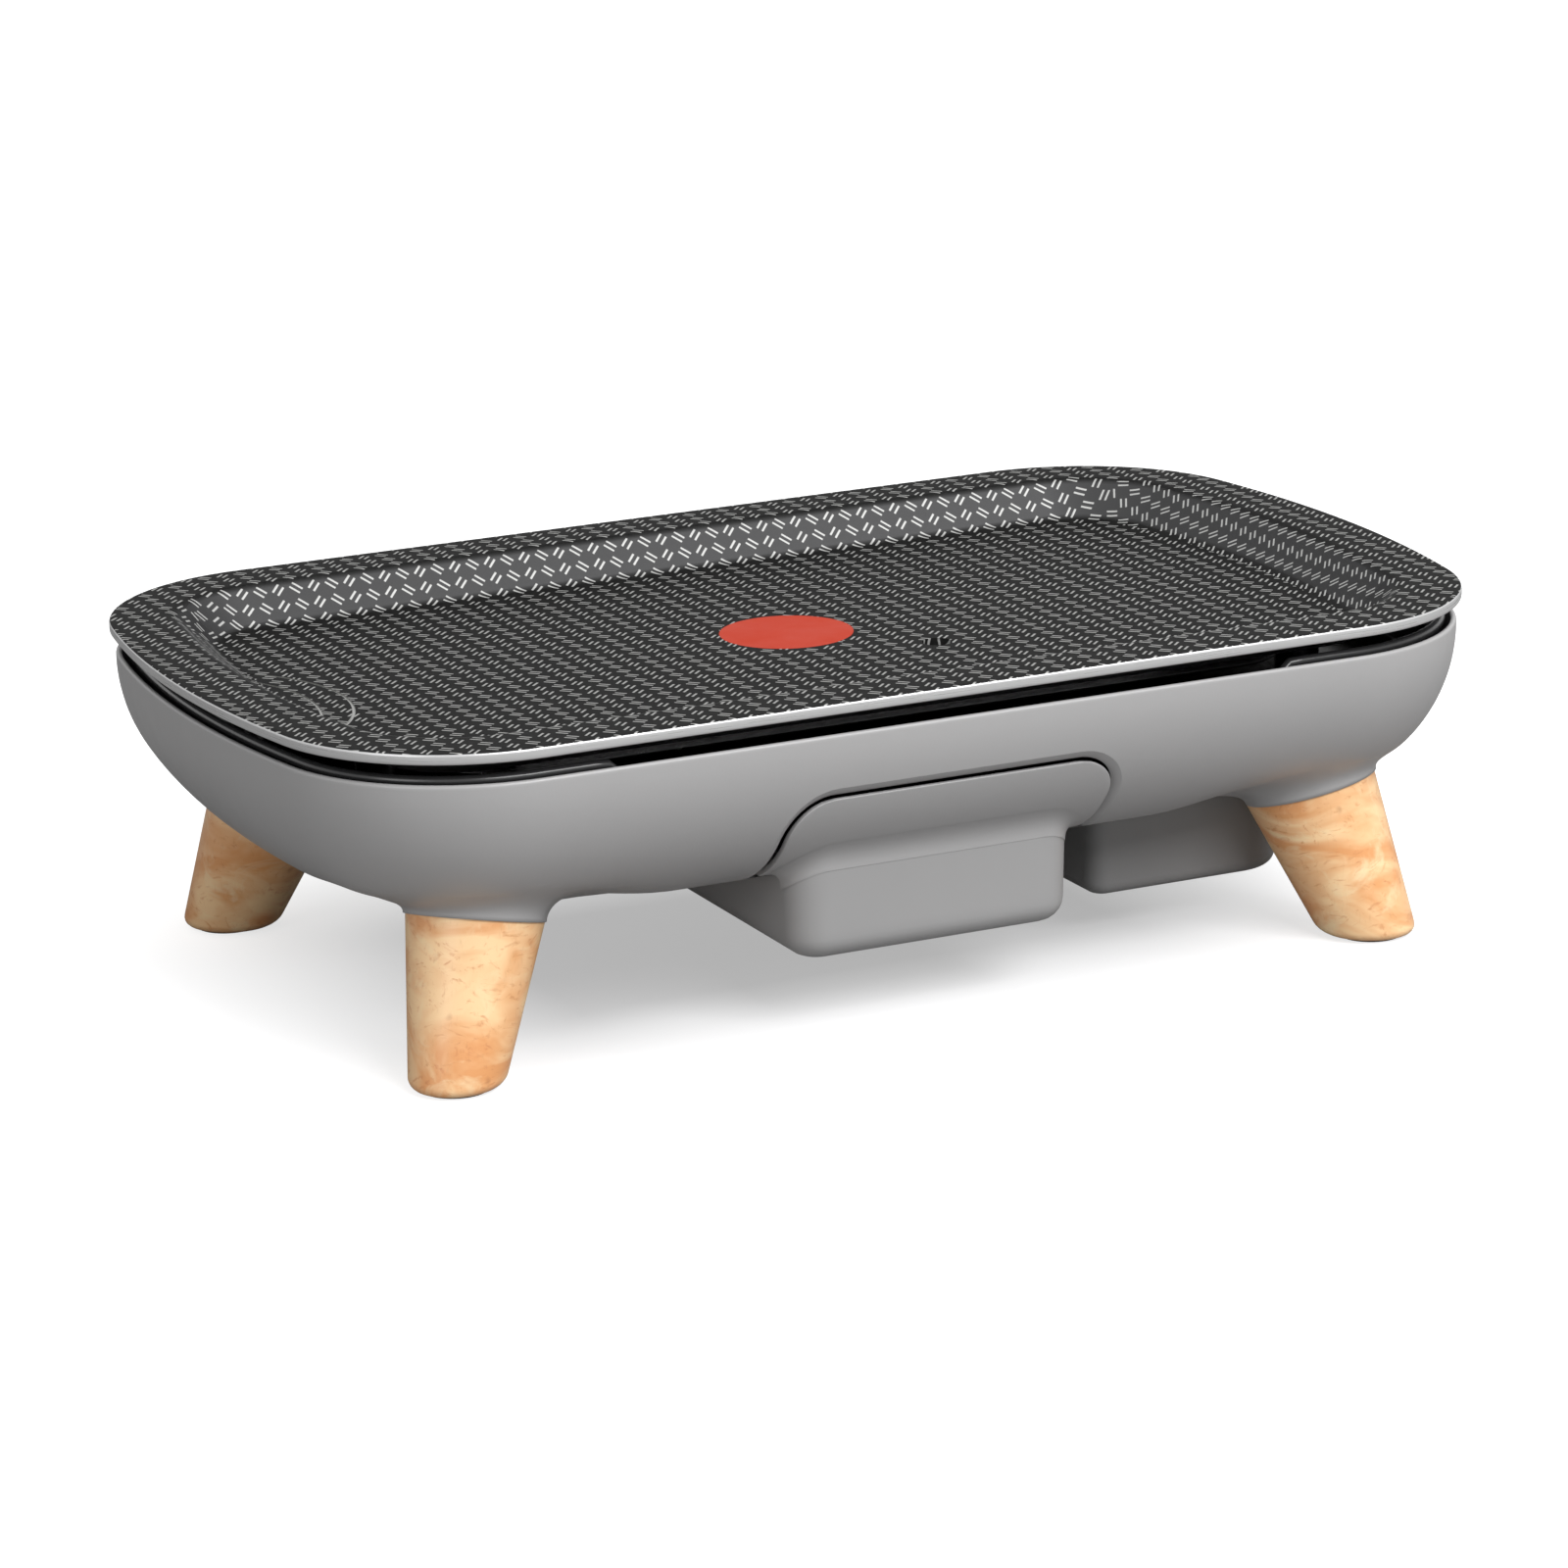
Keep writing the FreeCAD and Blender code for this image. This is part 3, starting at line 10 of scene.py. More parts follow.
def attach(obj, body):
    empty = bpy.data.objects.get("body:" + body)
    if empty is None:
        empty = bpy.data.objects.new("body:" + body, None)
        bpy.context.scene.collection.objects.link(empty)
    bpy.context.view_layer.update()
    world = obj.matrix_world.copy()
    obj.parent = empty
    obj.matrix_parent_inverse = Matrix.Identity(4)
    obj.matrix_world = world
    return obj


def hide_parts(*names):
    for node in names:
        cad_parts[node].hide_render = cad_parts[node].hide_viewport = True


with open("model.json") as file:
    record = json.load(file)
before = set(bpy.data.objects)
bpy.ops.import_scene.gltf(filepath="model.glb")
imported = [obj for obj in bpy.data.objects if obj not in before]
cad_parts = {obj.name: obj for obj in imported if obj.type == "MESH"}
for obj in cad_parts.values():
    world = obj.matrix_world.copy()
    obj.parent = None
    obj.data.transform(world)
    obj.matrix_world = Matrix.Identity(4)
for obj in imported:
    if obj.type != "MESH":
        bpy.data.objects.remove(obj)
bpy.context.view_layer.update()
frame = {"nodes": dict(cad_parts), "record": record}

# Sizes in millimetres, as in the solids
PLATE_LENGTH = 520.0
PLATE_WIDTH = 319.0
PLATE_BULGE = 545.0
BULGE_CENTRE = PLATE_LENGTH / 2 - PLATE_BULGE
PLATE_CORNER = 79.0
PLATE_TOP = 138.7
PLATE_RIM = 4.5
PLATE_ROUND = 1.1
WELL_FLOOR = 124.4
WELL_EDGE = 26.5
WELL_RUN = 16.5
WELL_CORNER = 48.0
WELL_ROUND = 8.0
UNDERSIDE = 119.9
DRAIN_PLACE = (45.0, -45.0)
DRAIN_RADIUS = 6.0
DISC_SEAT = 27.1
MARK_CENTRE = -191.0
MARK_BULGE = 70.0
MARK_WIDTH = 15.0
MARK_LENGTH = 95.0
MARK_LINE = 1.3
MARK_DEPTH = 0.5
TRAY_INSET = 7.6
TRAY_TOP = 127.0
TRAY_WALL = 2.0
TRAY_DIP = 9.0
TRAY_FLOOR = 104.0
DIP_HALF = 134.0
DIP_SLOPE = 12.0
LIP_RADIUS = 2.1
LIP_ABOVE = 1.2
POST_RADIUS = 6.0
POSTS = [(x, y) for x in (-160, 160) for y in (-60, 60)]
SHELL_TOP = 126.0
SHELL_INSET = 2.1
SHELL_FLOOR = 57.0
SHELL_WALL = 2.5
BOWL_RADIUS = 67.0
BOWL_FLAT = 90.4
BOTTOM_INSET = 71.0
CORNER_RISE = 6.0
RISE_BEGINS = (18.0, 42.0)
RISE_ENDS = (70.0, 58.0)
RISE_REACH = (80.0, 26.0)
DOOR_HALF = 70.4
DOOR_TOP = 100.8
DOOR_LOW = 61.0
DOOR_CORNER = 18.4
DOOR_BEVEL = 3.2
BEVEL_DEPTH = 2.2
PANEL_HALF = 69.0
PANEL_TOP = 99.4
PANEL_LOW = 62.4
PANEL_CORNER = 17.0
BIN_HALF = 61.0
BIN_FRONT = 133.5
BIN_BACK = 25.0
BIN_LOW = 28.7
BIN_HIGH = 70.0
BIN_WALL = 2.2
BIN_DRAFT = math.tan(math.radians(2.0))
BIN_DRAFT_TOP = 76.0
BIN_FRONT_RISE = 5.0
BIN_RISE_FROM = 60.0
BIN_RISE_RUN = (-124.0, -130.0)
BIN_CORNER = 15.0
BIN_REAR_CORNER = 10.0
BIN_FOOT = 9.0
LIP_LEVELS = (65.5, 68.0)
FOOT_RIGHT = 199.5
FOOT_BACK = 121.9
LEG_LEAN = 0.295
LEG_RADIUS = 18.1
LEG_TAPER = 0.129
LEG_LOW = 1.0
LEG_EDGE = 4.0
SEAT_HEIGHT = 60.0
SEAT_TILT = 0.2
SEAT_RADIUS = 24.0
SEAT_THICKNESS = 9.0
BOSS_HEIGHT = 18.0
BOSS_RADIUS = 12.0
COLLAR_RADIUS = 27.2
COLLAR_FLARE = 15.0
STUD_BORE = 3.2
KNOB_START = 188.6
KNOB_DEPTH = 15.0
KNOB_CENTRE = (20.0, 39.0)
SHAFT_BORE = 3.05
KNOB_RIBS = 12
RIB_RADIUS = 10.5
TICK_RADIUS = 13.7
TICK_STEP = math.radians(27.0)
FIGURE_RADIUS = 16.3
FIGURE_SIZE = 3.6
HOUSING_RIGHT = 188.0
HOUSING_LOW = 19.0
SCREW_BITE = 12.0
HOUSING_SCREW = 44.5
RAIL_CENTRE = 65.4
LEG_CORNERS = [(side, depth) for side in (-1, 1) for depth in (-1, 1)]


# Meshes: every point is written in millimetres and stored in metres
def linked(name, data):
    piece = bpy.data.objects.new(name, data)
    bpy.context.scene.collection.objects.link(piece)
    return piece


def result(piece):
    """The plain mesh that a piece comes to."""
    shown = piece.evaluated_get(bpy.context.evaluated_depsgraph_get())
    return bpy.data.meshes.new_from_object(shown)


def made(name, points, faces, finish):
    mesh = bpy.data.meshes.new(name)
    mesh.from_pydata([Vector(point) * 0.001 for point in points], [], faces)
    mesh.materials.append(finish)
    mesh.polygons.foreach_set("use_smooth", [True] * len(mesh.polygons))
    mesh.update()
    return linked(name, mesh)


def lofted(name, rings, finish, around=False):
    """Quads between rings of equal length, with flat ends or joined first to last."""
    count = len(rings[0])
    points = [point for ring in rings for point in ring]
    faces = []
    spans = len(rings) if around else len(rings) - 1
    for row in range(spans):
        low = row * count
        high = ((row + 1) % len(rings)) * count
        for step in range(count):
            beside = (step + 1) % count
            faces.append((low + step, low + beside, high + beside, high + step))
    if not around:
        faces.append(tuple(reversed(range(count))))
        faces.append(tuple(range((len(rings) - 1) * count, len(rings) * count)))
    return outwards(made(name, points, faces, finish))


def outwards(piece):
    """Merges doubled points and turns the faces outwards."""
    body = bmesh.new()
    body.from_mesh(piece.data)
    bmesh.ops.remove_doubles(body, verts=body.verts, dist=1e-6)
    bmesh.ops.recalc_face_normals(body, faces=body.faces)
    body.to_mesh(piece.data)
    body.free()
    return piece


def strip(name, rows, finish):
    """Quads between open rows of equal length."""
    count = len(rows[0])
    points = [point for row in rows for point in row]
    faces = []
    for row in range(len(rows) - 1):
        for step in range(count - 1):
            low = row * count + step
            faces.append((low, low + 1, low + count + 1, low + count))
    return made(name, points, faces, finish)


def sharpened(piece, degrees=38.0):
    """Keeps edges sharper than an angle crisp under smooth shading."""
    limit = math.radians(degrees)
    body = bmesh.new()
    body.from_mesh(piece.data)
    for edge in body.edges:
        if len(edge.link_faces) == 2:
            edge.smooth = edge.calc_face_angle() < limit
    body.to_mesh(piece.data)
    body.free()
    return piece


def joined(name, items):
    """One object from several, with their materials kept."""
    for item in bpy.context.selected_objects:
        item.select_set(False)
    for item in items:
        item.select_set(True)
    bpy.context.view_layer.objects.active = items[0]
    bpy.ops.object.join()
    items[0].name = name
    items[0].data.name = name
    return items[0]


def applied(piece, kind, **settings):
    """Adds one modifier and makes its result the piece's own mesh."""
    change = piece.modifiers.new(kind.title(), kind)
    for field, value in settings.items():
        setattr(change, field, value)
    mesh = result(piece)
    piece.modifiers.clear()
    piece.data = mesh
    return piece


def carved(piece, *tools):
    """Cuts each tool out of the piece and removes it."""
    for tool in tools:
        applied(piece, "BOOLEAN", object=tool, operation="DIFFERENCE", solver="EXACT")
        bpy.data.objects.remove(tool)
    return piece


def on_body(piece, body, slot, *nodes):
    """The piece moves with a body and stands for the solids that it replaces."""
    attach(piece, body)
    if nodes:
        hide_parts(*nodes)
    return piece


# Plans and rings
SHORT_STEPS = 18
TURN_STEPS = 22
LONG_STEPS = 30


def corner_of(inset, corner):
    """A corner's centre, and the angle at which it meets the bowed short side."""
    turn_y = PLATE_WIDTH / 2 - inset - corner
    along = math.sqrt((PLATE_BULGE - inset - corner) ** 2 - turn_y ** 2)
    return BULGE_CENTRE + along, turn_y, math.atan2(turn_y, along)


def plate_plan(inset, corner):
    """The plate's plan drawn in by an inset: straight long sides and bowed short sides."""
    turn_x, turn_y, sweep = corner_of(inset, corner)
    side = PLATE_WIDTH / 2 - inset
    bulge = PLATE_BULGE - inset
    quarter = []
    for step in range(SHORT_STEPS):
        angle = sweep * step / SHORT_STEPS
        quarter.append((BULGE_CENTRE + bulge * math.cos(angle), bulge * math.sin(angle)))
    for step in range(TURN_STEPS):
        angle = sweep + (math.pi / 2 - sweep) * step / TURN_STEPS
        quarter.append((turn_x + corner * math.cos(angle), turn_y + corner * math.sin(angle)))
    for step in range(LONG_STEPS):
        quarter.append((turn_x * (1 - step / LONG_STEPS), side))
    left = [(-x, y) for x, y in reversed(quarter)]
    upper = quarter + [(0.0, side)] + left
    lower = [(-x, -y) for x, y in upper[1:-1]]
    return upper + lower


def plate_ring(inset, corner, level):
    return [(x, y, level) for x, y in plate_plan(inset, corner)]


def turns(count):
    """Even angles all the way round."""
    return [math.tau * step / count for step in range(count)]


def arc(centre, radius, start, end, steps):
    """Points (across, level) on an arc, with angles in degrees."""
    points = []
    for step in range(steps + 1):
        angle = math.radians(start + (end - start) * step / steps)
        points.append((centre[0] + radius * math.cos(angle), centre[1] + radius * math.sin(angle)))
    return points


def box_plan(x, y, corners, steps=10):
    """A rectangle whose four corners are arcs: front left, front right, back right, back left."""
    places = [
        (x[0] + corners[0], y[0] + corners[0], 180, corners[0]),
        (x[1] - corners[1], y[0] + corners[1], 270, corners[1]),
        (x[1] - corners[2], y[1] - corners[2], 0, corners[2]),
        (x[0] + corners[3], y[1] - corners[3], 90, corners[3]),
    ]
    points = []
    for centre_x, centre_y, start, radius in places:
        points += arc((centre_x, centre_y), radius, start, start + 90, steps)
    return points


def ramp(value, start, full):
    """A smooth step from 0 at one value to 1 at another."""
    share = min(1.0, max(0.0, (value - start) / (full - start)))
    return share * share * (3 - 2 * share)


def bent(low, near, far, high, share):
    """A point on the curve from low to high that is pulled towards near and far."""
    return (low * (1 - share) ** 3 + near * 3 * share * (1 - share) ** 2
            + far * 3 * share ** 2 * (1 - share) + high * share ** 3)


def upright(name, plan, levels, finish):
    """A plan drawn straight up between two levels."""
    return lofted(name, [[(x, y, level) for x, y in plan] for level in levels], finish)


def rod(name, place, radius, levels, steps, finish):
    plan = [(place[0] + radius * math.cos(turn), place[1] + radius * math.sin(turn))
            for turn in turns(steps)]
    return upright(name, plan, levels, finish)


# Finishes
def add(tree, kind, inputs=None, **settings):
    """A new node, with each input linked to an output or set to a value."""
    node = tree.nodes.new(kind)
    for field, value in settings.items():
        setattr(node, field, value)
    for socket, value in (inputs or {}).items():
        if isinstance(value, bpy.types.NodeSocket):
            tree.links.new(value, node.inputs[socket])
        else:
            node.inputs[socket].default_value = value
    return node


def math_of(tree, operation, *values):
    return add(tree, "ShaderNodeMath", dict(enumerate(values)), operation=operation).outputs[0]


def blank_finish(name, color, roughness, metallic=0.0, specular=0.5):
    finish = bpy.data.materials.new(name)
    finish.use_nodes = True
    shader = finish.node_tree.nodes["Principled BSDF"]
    finish.diffuse_color = (*color, 1.0)
    for socket, value in (("Base Color", finish.diffuse_color), ("Roughness", roughness),
                          ("Metallic", metallic), ("Specular IOR Level", specular)):
        shader.inputs[socket].default_value = value
    return finish, finish.node_tree, shader


def coordinates(tree, kind):
    return add(tree, "ShaderNodeTexCoord").outputs[kind]


def parted(tree, vector):
    """The X, Y and Z of a vector."""
    return add(tree, "ShaderNodeSeparateXYZ", {"Vector": vector}).outputs


def object_place(tree, scale=(1.0, 1.0, 1.0)):
    place = coordinates(tree, "Object")
    return add(tree, "ShaderNodeMapping", {"Vector": place, "Scale": scale}).outputs[0]


def noise(tree, place, scale, detail=3.0, rough=0.5, distortion=0.0):
    return add(tree, "ShaderNodeTexNoise", {
        "Vector": place, "Scale": scale, "Detail": detail, "Roughness": rough,
        "Distortion": distortion}).outputs["Fac"]


def spread(tree, value, low, high, out_low, out_high):
    """A value's range from low to high laid over another range, and held at its ends."""
    return add(tree, "ShaderNodeMapRange", {
        "Value": value, "From Min": low, "From Max": high,
        "To Min": out_low, "To Max": out_high}).outputs[0]


def mixed(tree, amount, first, second):
    first, second = ((*color, 1.0) if isinstance(color, tuple) else color
                     for color in (first, second))
    return add(tree, "ShaderNodeMix", {0: amount, 6: first, 7: second},
               data_type="RGBA").outputs[2]


def bumped(tree, shader, height, strength, distance):
    bump = add(tree, "ShaderNodeBump", {
        "Height": height, "Strength": strength, "Distance": distance})
    tree.links.new(bump.outputs[0], shader.inputs["Normal"])


def grained(name, color, roughness, metallic=0.0, specular=0.5, grain=900.0, depth=0.00004,
            shade=0.06):
    """A plain finish with a fine grain, a slight drift of tone and uneven gloss."""
    finish, tree, shader = blank_finish(name, color, roughness, metallic, specular)
    place = object_place(tree)
    drift = noise(tree, place, 14.0, 3.0)
    darker = tuple(part * (1 - shade) for part in color)
    lighter = tuple(min(1.0, part * (1 + shade)) for part in color)
    tree.links.new(mixed(tree, drift, darker, lighter), shader.inputs["Base Color"])
    fine = noise(tree, place, grain, 2.0)
    gloss = spread(tree, noise(tree, place, 60.0, 4.0), 0.3, 0.7, roughness * 0.9, roughness * 1.1)
    tree.links.new(gloss, shader.inputs["Roughness"])
    bumped(tree, shader, fine, 0.5, depth)
    return finish


def brushed(name, color, roughness, stretch, metallic=1.0):
    """Metal with fine lines drawn along one direction."""
    finish, tree, shader = blank_finish(name, color, roughness, metallic)
    lines = noise(tree, object_place(tree, stretch), 1.0, 4.0, 0.6)
    darker = tuple(part * 0.86 for part in color)
    tree.links.new(mixed(tree, lines, darker, color), shader.inputs["Base Color"])
    tree.links.new(spread(tree, lines, 0.3, 0.7, roughness * 0.75, roughness * 1.25),
                   shader.inputs["Roughness"])
    bumped(tree, shader, lines, 0.25, 0.00002)
    return finish


def nonstick_coat():
    """Near-black coat with pairs of short light dashes that lean the other way in each column.

    Down the well's slopes the cells are let out by the depth, so that the dashes keep their
    length: by a column on the slopes at the ends, by half a row on the long ones. The slopes
    are painted a lighter grey than the flat faces, a painted sheen for the light they catch.
    """
    finish, tree, shader = blank_finish("nonstick_coat", (0.018, 0.018, 0.019), 0.42, 0.7)
    shader.inputs["IOR"].default_value = 1.2
    shader.inputs["Specular Tint"].default_value = (0.16, 0.16, 0.16, 1.0)
    cell = 0.0078
    pair_gap = 0.155
    half_turn = 0.7071
    do = partial(math_of, tree)
    place = coordinates(tree, "Object")
    apart = parted(tree, place)
    depth = do("SUBTRACT", apart["Z"], PLATE_TOP / 1000)
    sunk = do("DIVIDE", depth, (PLATE_TOP - WELL_FLOOR) / 1000)
    facing = parted(tree, coordinates(tree, "Normal"))
    lean = [do("ABSOLUTE", facing[axis]) for axis in "XY"]
    at_end = do("GREATER_THAN", do("SUBTRACT", *lean), 0.05)

    def let_out(axis, cells):
        let = do("MULTIPLY", do("MULTIPLY", do("SIGN", apart[axis]), sunk), cells)
        return do("ADD", do("DIVIDE", apart[axis], cell), let)

    def in_cell(along, start):
        return do("SUBTRACT", do("SUBTRACT", along, start), 0.5)

    across = let_out("X", at_end)
    deep = let_out("Y", spread(tree, at_end, 0.0, 1.0, 0.5, 0.0))
    column = do("FLOOR", across)
    turn = do("PINGPONG", column, 1.0)
    u = in_cell(across, column)
    v = in_cell(deep, do("FLOOR", deep))
    rising = do("MULTIPLY", do("ADD", u, v), half_turn)
    falling = do("MULTIPLY", do("SUBTRACT", u, v), half_turn)
    along = add(tree, "ShaderNodeMix", {0: turn, 2: rising, 3: falling}).outputs[0]
    beside = add(tree, "ShaderNodeMix", {0: turn, 2: falling, 3: rising}).outputs[0]
    off_line = do("ABSOLUTE", do("SUBTRACT", do("ABSOLUTE", beside), pair_gap))
    thin = spread(tree, off_line, 0.04, 0.072, 1.0, 0.0)
    short = spread(tree, do("ABSOLUTE", along), 0.29, 0.33, 1.0, 0.0)
    dash = do("MULTIPLY", thin, short)
    soft = noise(tree, place, 500.0, 2.0)
    ground = mixed(tree, soft, (0.014, 0.014, 0.014), (0.038, 0.038, 0.037))
    # Painted sheen: the slopes get a lighter ground, standing in for the light their coat reflects
    slope = do("MULTIPLY", spread(tree, facing["Z"], 0.78, 0.95, 1.0, 0.0),
               spread(tree, facing["Z"], 0.4, 0.65, 0.0, 1.0))
    ground_and_sheen = mixed(tree, slope, ground, (0.068, 0.068, 0.069))
    tree.links.new(mixed(tree, dash, ground_and_sheen, (0.5, 0.5, 0.49)), shader.inputs["Base Color"])
    tree.links.new(spread(tree, dash, 0.0, 1.0, 0.42, 0.5), shader.inputs["Roughness"])
    bumped(tree, shader, do("ADD", dash, do("MULTIPLY", soft, 0.25)), 0.5, 0.00012)
    return finish


def pale_wood():
    """Oiled burl: cream and orange clouds, reddish swirls and a few small dark eyes."""
    finish, tree, shader = blank_finish("pale_wood", (0.84, 0.45, 0.20), 0.4)
    shader.inputs["Coat Weight"].default_value = 0.3
    shader.inputs["Coat Roughness"].default_value = 0.22
    place = object_place(tree)
    long_place = object_place(tree, (0.8, 0.8, 1.5))
    clouds = noise(tree, long_place, 27.0, 3.0, 0.5, 1.6)
    ground = mixed(tree, spread(tree, clouds, 0.36, 0.62, 0.0, 1.0),
                   (0.80, 0.37, 0.145), (0.98, 0.66, 0.36))
    swirls = noise(tree, long_place, 62.0, 6.0, 0.62, 5.0)
    veined = mixed(tree, spread(tree, swirls, 0.56, 0.70, 0.0, 0.6), ground, (0.62, 0.22, 0.075))
    cream = noise(tree, place, 30.0, 4.0, 0.6, 2.0)
    figured = mixed(tree, spread(tree, cream, 0.56, 0.72, 0.0, 0.6), veined, (0.99, 0.80, 0.50))
    eyes = add(tree, "ShaderNodeTexVoronoi", {"Vector": place, "Scale": 75.0,
                                              "Randomness": 1.0}).outputs["Distance"]
    grouped = spread(tree, noise(tree, place, 30.0), 0.5, 0.62, 0.0, 1.0)
    dots = math_of(tree, "MULTIPLY", spread(tree, eyes, 0.07, 0.17, 0.75, 0.0), grouped)
    pores = noise(tree, object_place(tree, (1.0, 1.0, 0.15)), 900.0, 2.0)
    dotted = mixed(tree, dots, figured, (0.38, 0.13, 0.045))
    tree.links.new(mixed(tree, spread(tree, pores, 0.62, 0.8, 0.0, 0.18), dotted,
                         (0.50, 0.22, 0.08)), shader.inputs["Base Color"])
    tree.links.new(spread(tree, clouds, 0.3, 0.7, 0.34, 0.46), shader.inputs["Roughness"])
    bumped(tree, shader, math_of(tree, "ADD", swirls, pores), 0.1, 0.0002)
    return finish


COAT = nonstick_coat()
RIM_METAL = brushed("satin_rim", (0.60, 0.60, 0.60), 0.32, (40.0, 40.0, 2500.0), 0.45)
CAST_METAL = grained("cast_underside", (0.30, 0.30, 0.31), 0.5, 0.9, grain=350.0, depth=0.0002)
MARK_GREY = grained("mark_grey", (0.30, 0.30, 0.29), 0.4, 0.4)
SHELL_GREY = grained("shell_grey", (0.378, 0.374, 0.375), 0.4, grain=1100.0, shade=0.02)
# Painted sheen: the tray's lip is a lighter black than the tray, standing in for the light its
# rolled edge reflects
LIP_SHEEN_BLACK = grained("lip_black", (0.03, 0.03, 0.031), 0.24, grain=300.0, depth=0.00002)
# Painted shade: the bin is a darker copy of the shell's grey, standing in for the shade on its
# front
BIN_SHADED_GREY = grained("bin_grey", (0.34, 0.337, 0.338), 0.42, grain=1100.0, shade=0.02)
# Painted shade: the housing is a darker copy of the shell's grey, standing in for the shell's
# shadow over it
HOUSING_SHADED_GREY = grained("housing_grey", (0.25, 0.248, 0.249), 0.45, grain=1100.0, shade=0.02)
ZINC = brushed("zinc_steel", (0.66, 0.67, 0.69), 0.28, (900.0, 900.0, 900.0))
BLACK_PLASTIC = grained("black_plastic", (0.022, 0.022, 0.024), 0.42)
WOOD = pale_wood()
DIAL_PRINT = grained("dial_print", (0.82, 0.82, 0.80), 0.6)
LENS = grained("amber_lens", (0.85, 0.22, 0.02), 0.12, specular=0.6)
LENS.node_tree.nodes["Principled BSDF"].inputs["Transmission Weight"].default_value = 0.5

BY_SLOT = {
    "nonstick_plate": COAT,
    "grey_shell": SHELL_GREY,
    "pale_wood": WOOD,
    "dark_plastic": BLACK_PLASTIC,
    "zinc_steel": ZINC,
    "amber_lens": LENS,
    "red_disc": grained("disc_red", (0.47, 0.037, 0.013), 0.55, specular=0.1, grain=1200.0),
    "black_tray": grained("tray_black", (0.008, 0.008, 0.009), 0.16, grain=300.0, depth=0.00002),
    "dark_rubber": grained("foot_rubber", (0.03, 0.03, 0.03), 0.75, grain=800.0, depth=0.0001),
    "silicone": grained("pad_silicone", (0.09, 0.09, 0.09), 0.6, grain=700.0),
    "bright_sheet": brushed("bright_sheet", (0.80, 0.80, 0.81), 0.22, (60.0, 2200.0, 400.0)),
    "heater_steel": grained("heater_steel", (0.26, 0.25, 0.245), 0.38, 0.95, grain=500.0,
                            shade=0.2),
    "ceramic": grained("ceramic_white", (0.80, 0.78, 0.72), 0.55),
    "copper": brushed("copper_tube", (0.78, 0.38, 0.22), 0.25, (600.0, 600.0, 600.0)),
    "brass": brushed("brass_pin", (0.80, 0.60, 0.26), 0.25, (200.0, 1500.0, 200.0)),
    "brown_wire": grained("brown_insulation", (0.16, 0.06, 0.025), 0.45),
    "blue_wire": grained("blue_insulation", (0.02, 0.10, 0.42), 0.45),
    "green_wire": grained("green_insulation", (0.09, 0.38, 0.05), 0.45),
}


def finish_the_solids():
    """Gives each solid the finish of its slot, and the housing a darker grey as painted shade for
    the shell's shadow over it.
    """
    slots = {entry["node"]: entry["material_slot"] for entry in frame["record"]["subparts"]}
    for name, solid in frame["nodes"].items():
        solid.data.materials.clear()
        solid.data.materials.append(
            HOUSING_SHADED_GREY if name == "control_housing" else BY_SLOT[slots[name]])


# The cooking plate
def cooking_plate():
    """The cast plate from its underside over the rolled rim down into the well."""
    lean = math.degrees(math.atan2(PLATE_TOP - WELL_FLOOR, WELL_RUN))
    ease = WELL_ROUND * math.tan(math.radians(lean) / 2)
    lip = arc((WELL_EDGE - ease, PLATE_TOP - WELL_ROUND), WELL_ROUND, 90, 90 - lean, 6)
    foot_in = WELL_EDGE + WELL_RUN + ease
    foot = arc((foot_in, WELL_FLOOR + WELL_ROUND), WELL_ROUND, 270 - lean, 270, 6)
    wall = [(inset, level, WELL_CORNER - (inset - WELL_EDGE)) for inset, level in lip + foot]
    edge = [(inset, level, PLATE_CORNER - inset) for inset, level in
            arc((PLATE_ROUND, PLATE_TOP - PLATE_ROUND), PLATE_ROUND, 180, 90, 4)]
    rim_low = PLATE_TOP - PLATE_RIM
    under = arc((PLATE_ROUND, rim_low + PLATE_ROUND), PLATE_ROUND, 270, 180, 4)
    pan_wall = 6.0
    run_by_depth = WELL_RUN / (PLATE_TOP - WELL_FLOOR)
    pan_in = WELL_EDGE + PLATE_RIM * run_by_depth - pan_wall
    pan_out = pan_in + (rim_low - UNDERSIDE) * run_by_depth
    below = [
        (pan_out + 6, UNDERSIDE, WELL_CORNER - 22), (pan_out + 2, UNDERSIDE, WELL_CORNER - 18),
        (pan_out - 1, UNDERSIDE + 0.8, WELL_CORNER - 15), (pan_in, rim_low, WELL_CORNER)]
    below += [(inset, level, PLATE_CORNER - inset) for inset, level in under]
    profile = below + edge + [(3.0, PLATE_TOP, PLATE_CORNER - 3)]
    profile += wall + [(foot_in + 4, WELL_FLOOR, WELL_CORNER - WELL_RUN - ease - 4)]
    rings = [plate_ring(inset, corner, level) for inset, level, corner in profile]
    plate = lofted("cooking_plate_dressed", rings, COAT)
    for finish in (RIM_METAL, CAST_METAL, MARK_GREY):
        plate.data.materials.append(finish)
    rim_band = 1.4
    for face in plate.data.polygons:
        centre = face.center * 1000
        on_edge = abs(centre.y) > PLATE_WIDTH / 2 - rim_band or edge_distance(centre) < rim_band
        if abs(face.normal.z) < 0.8 and centre.z > rim_low - 0.01 and on_edge:
            face.material_index = 1
        elif face.normal.z < -0.05:
            face.material_index = 2
    high = WELL_FLOOR + 2
    drain = rod("drain_cutter", DRAIN_PLACE, DRAIN_RADIUS, (UNDERSIDE - 2, high), 32, COAT)
    seat = rod("disc_seat_cutter", (0, 0), DISC_SEAT, (WELL_FLOOR - 0.8, high), 96, COAT)
    carved(plate, drain, seat, mark_cutter())
    for face in plate.data.polygons:
        if in_the_mark(face.center * 1000):
            face.material_index = 3
    sharpened(plate, 30)
    on_body(plate, "plate", "nonstick_plate", "cooking_plate")


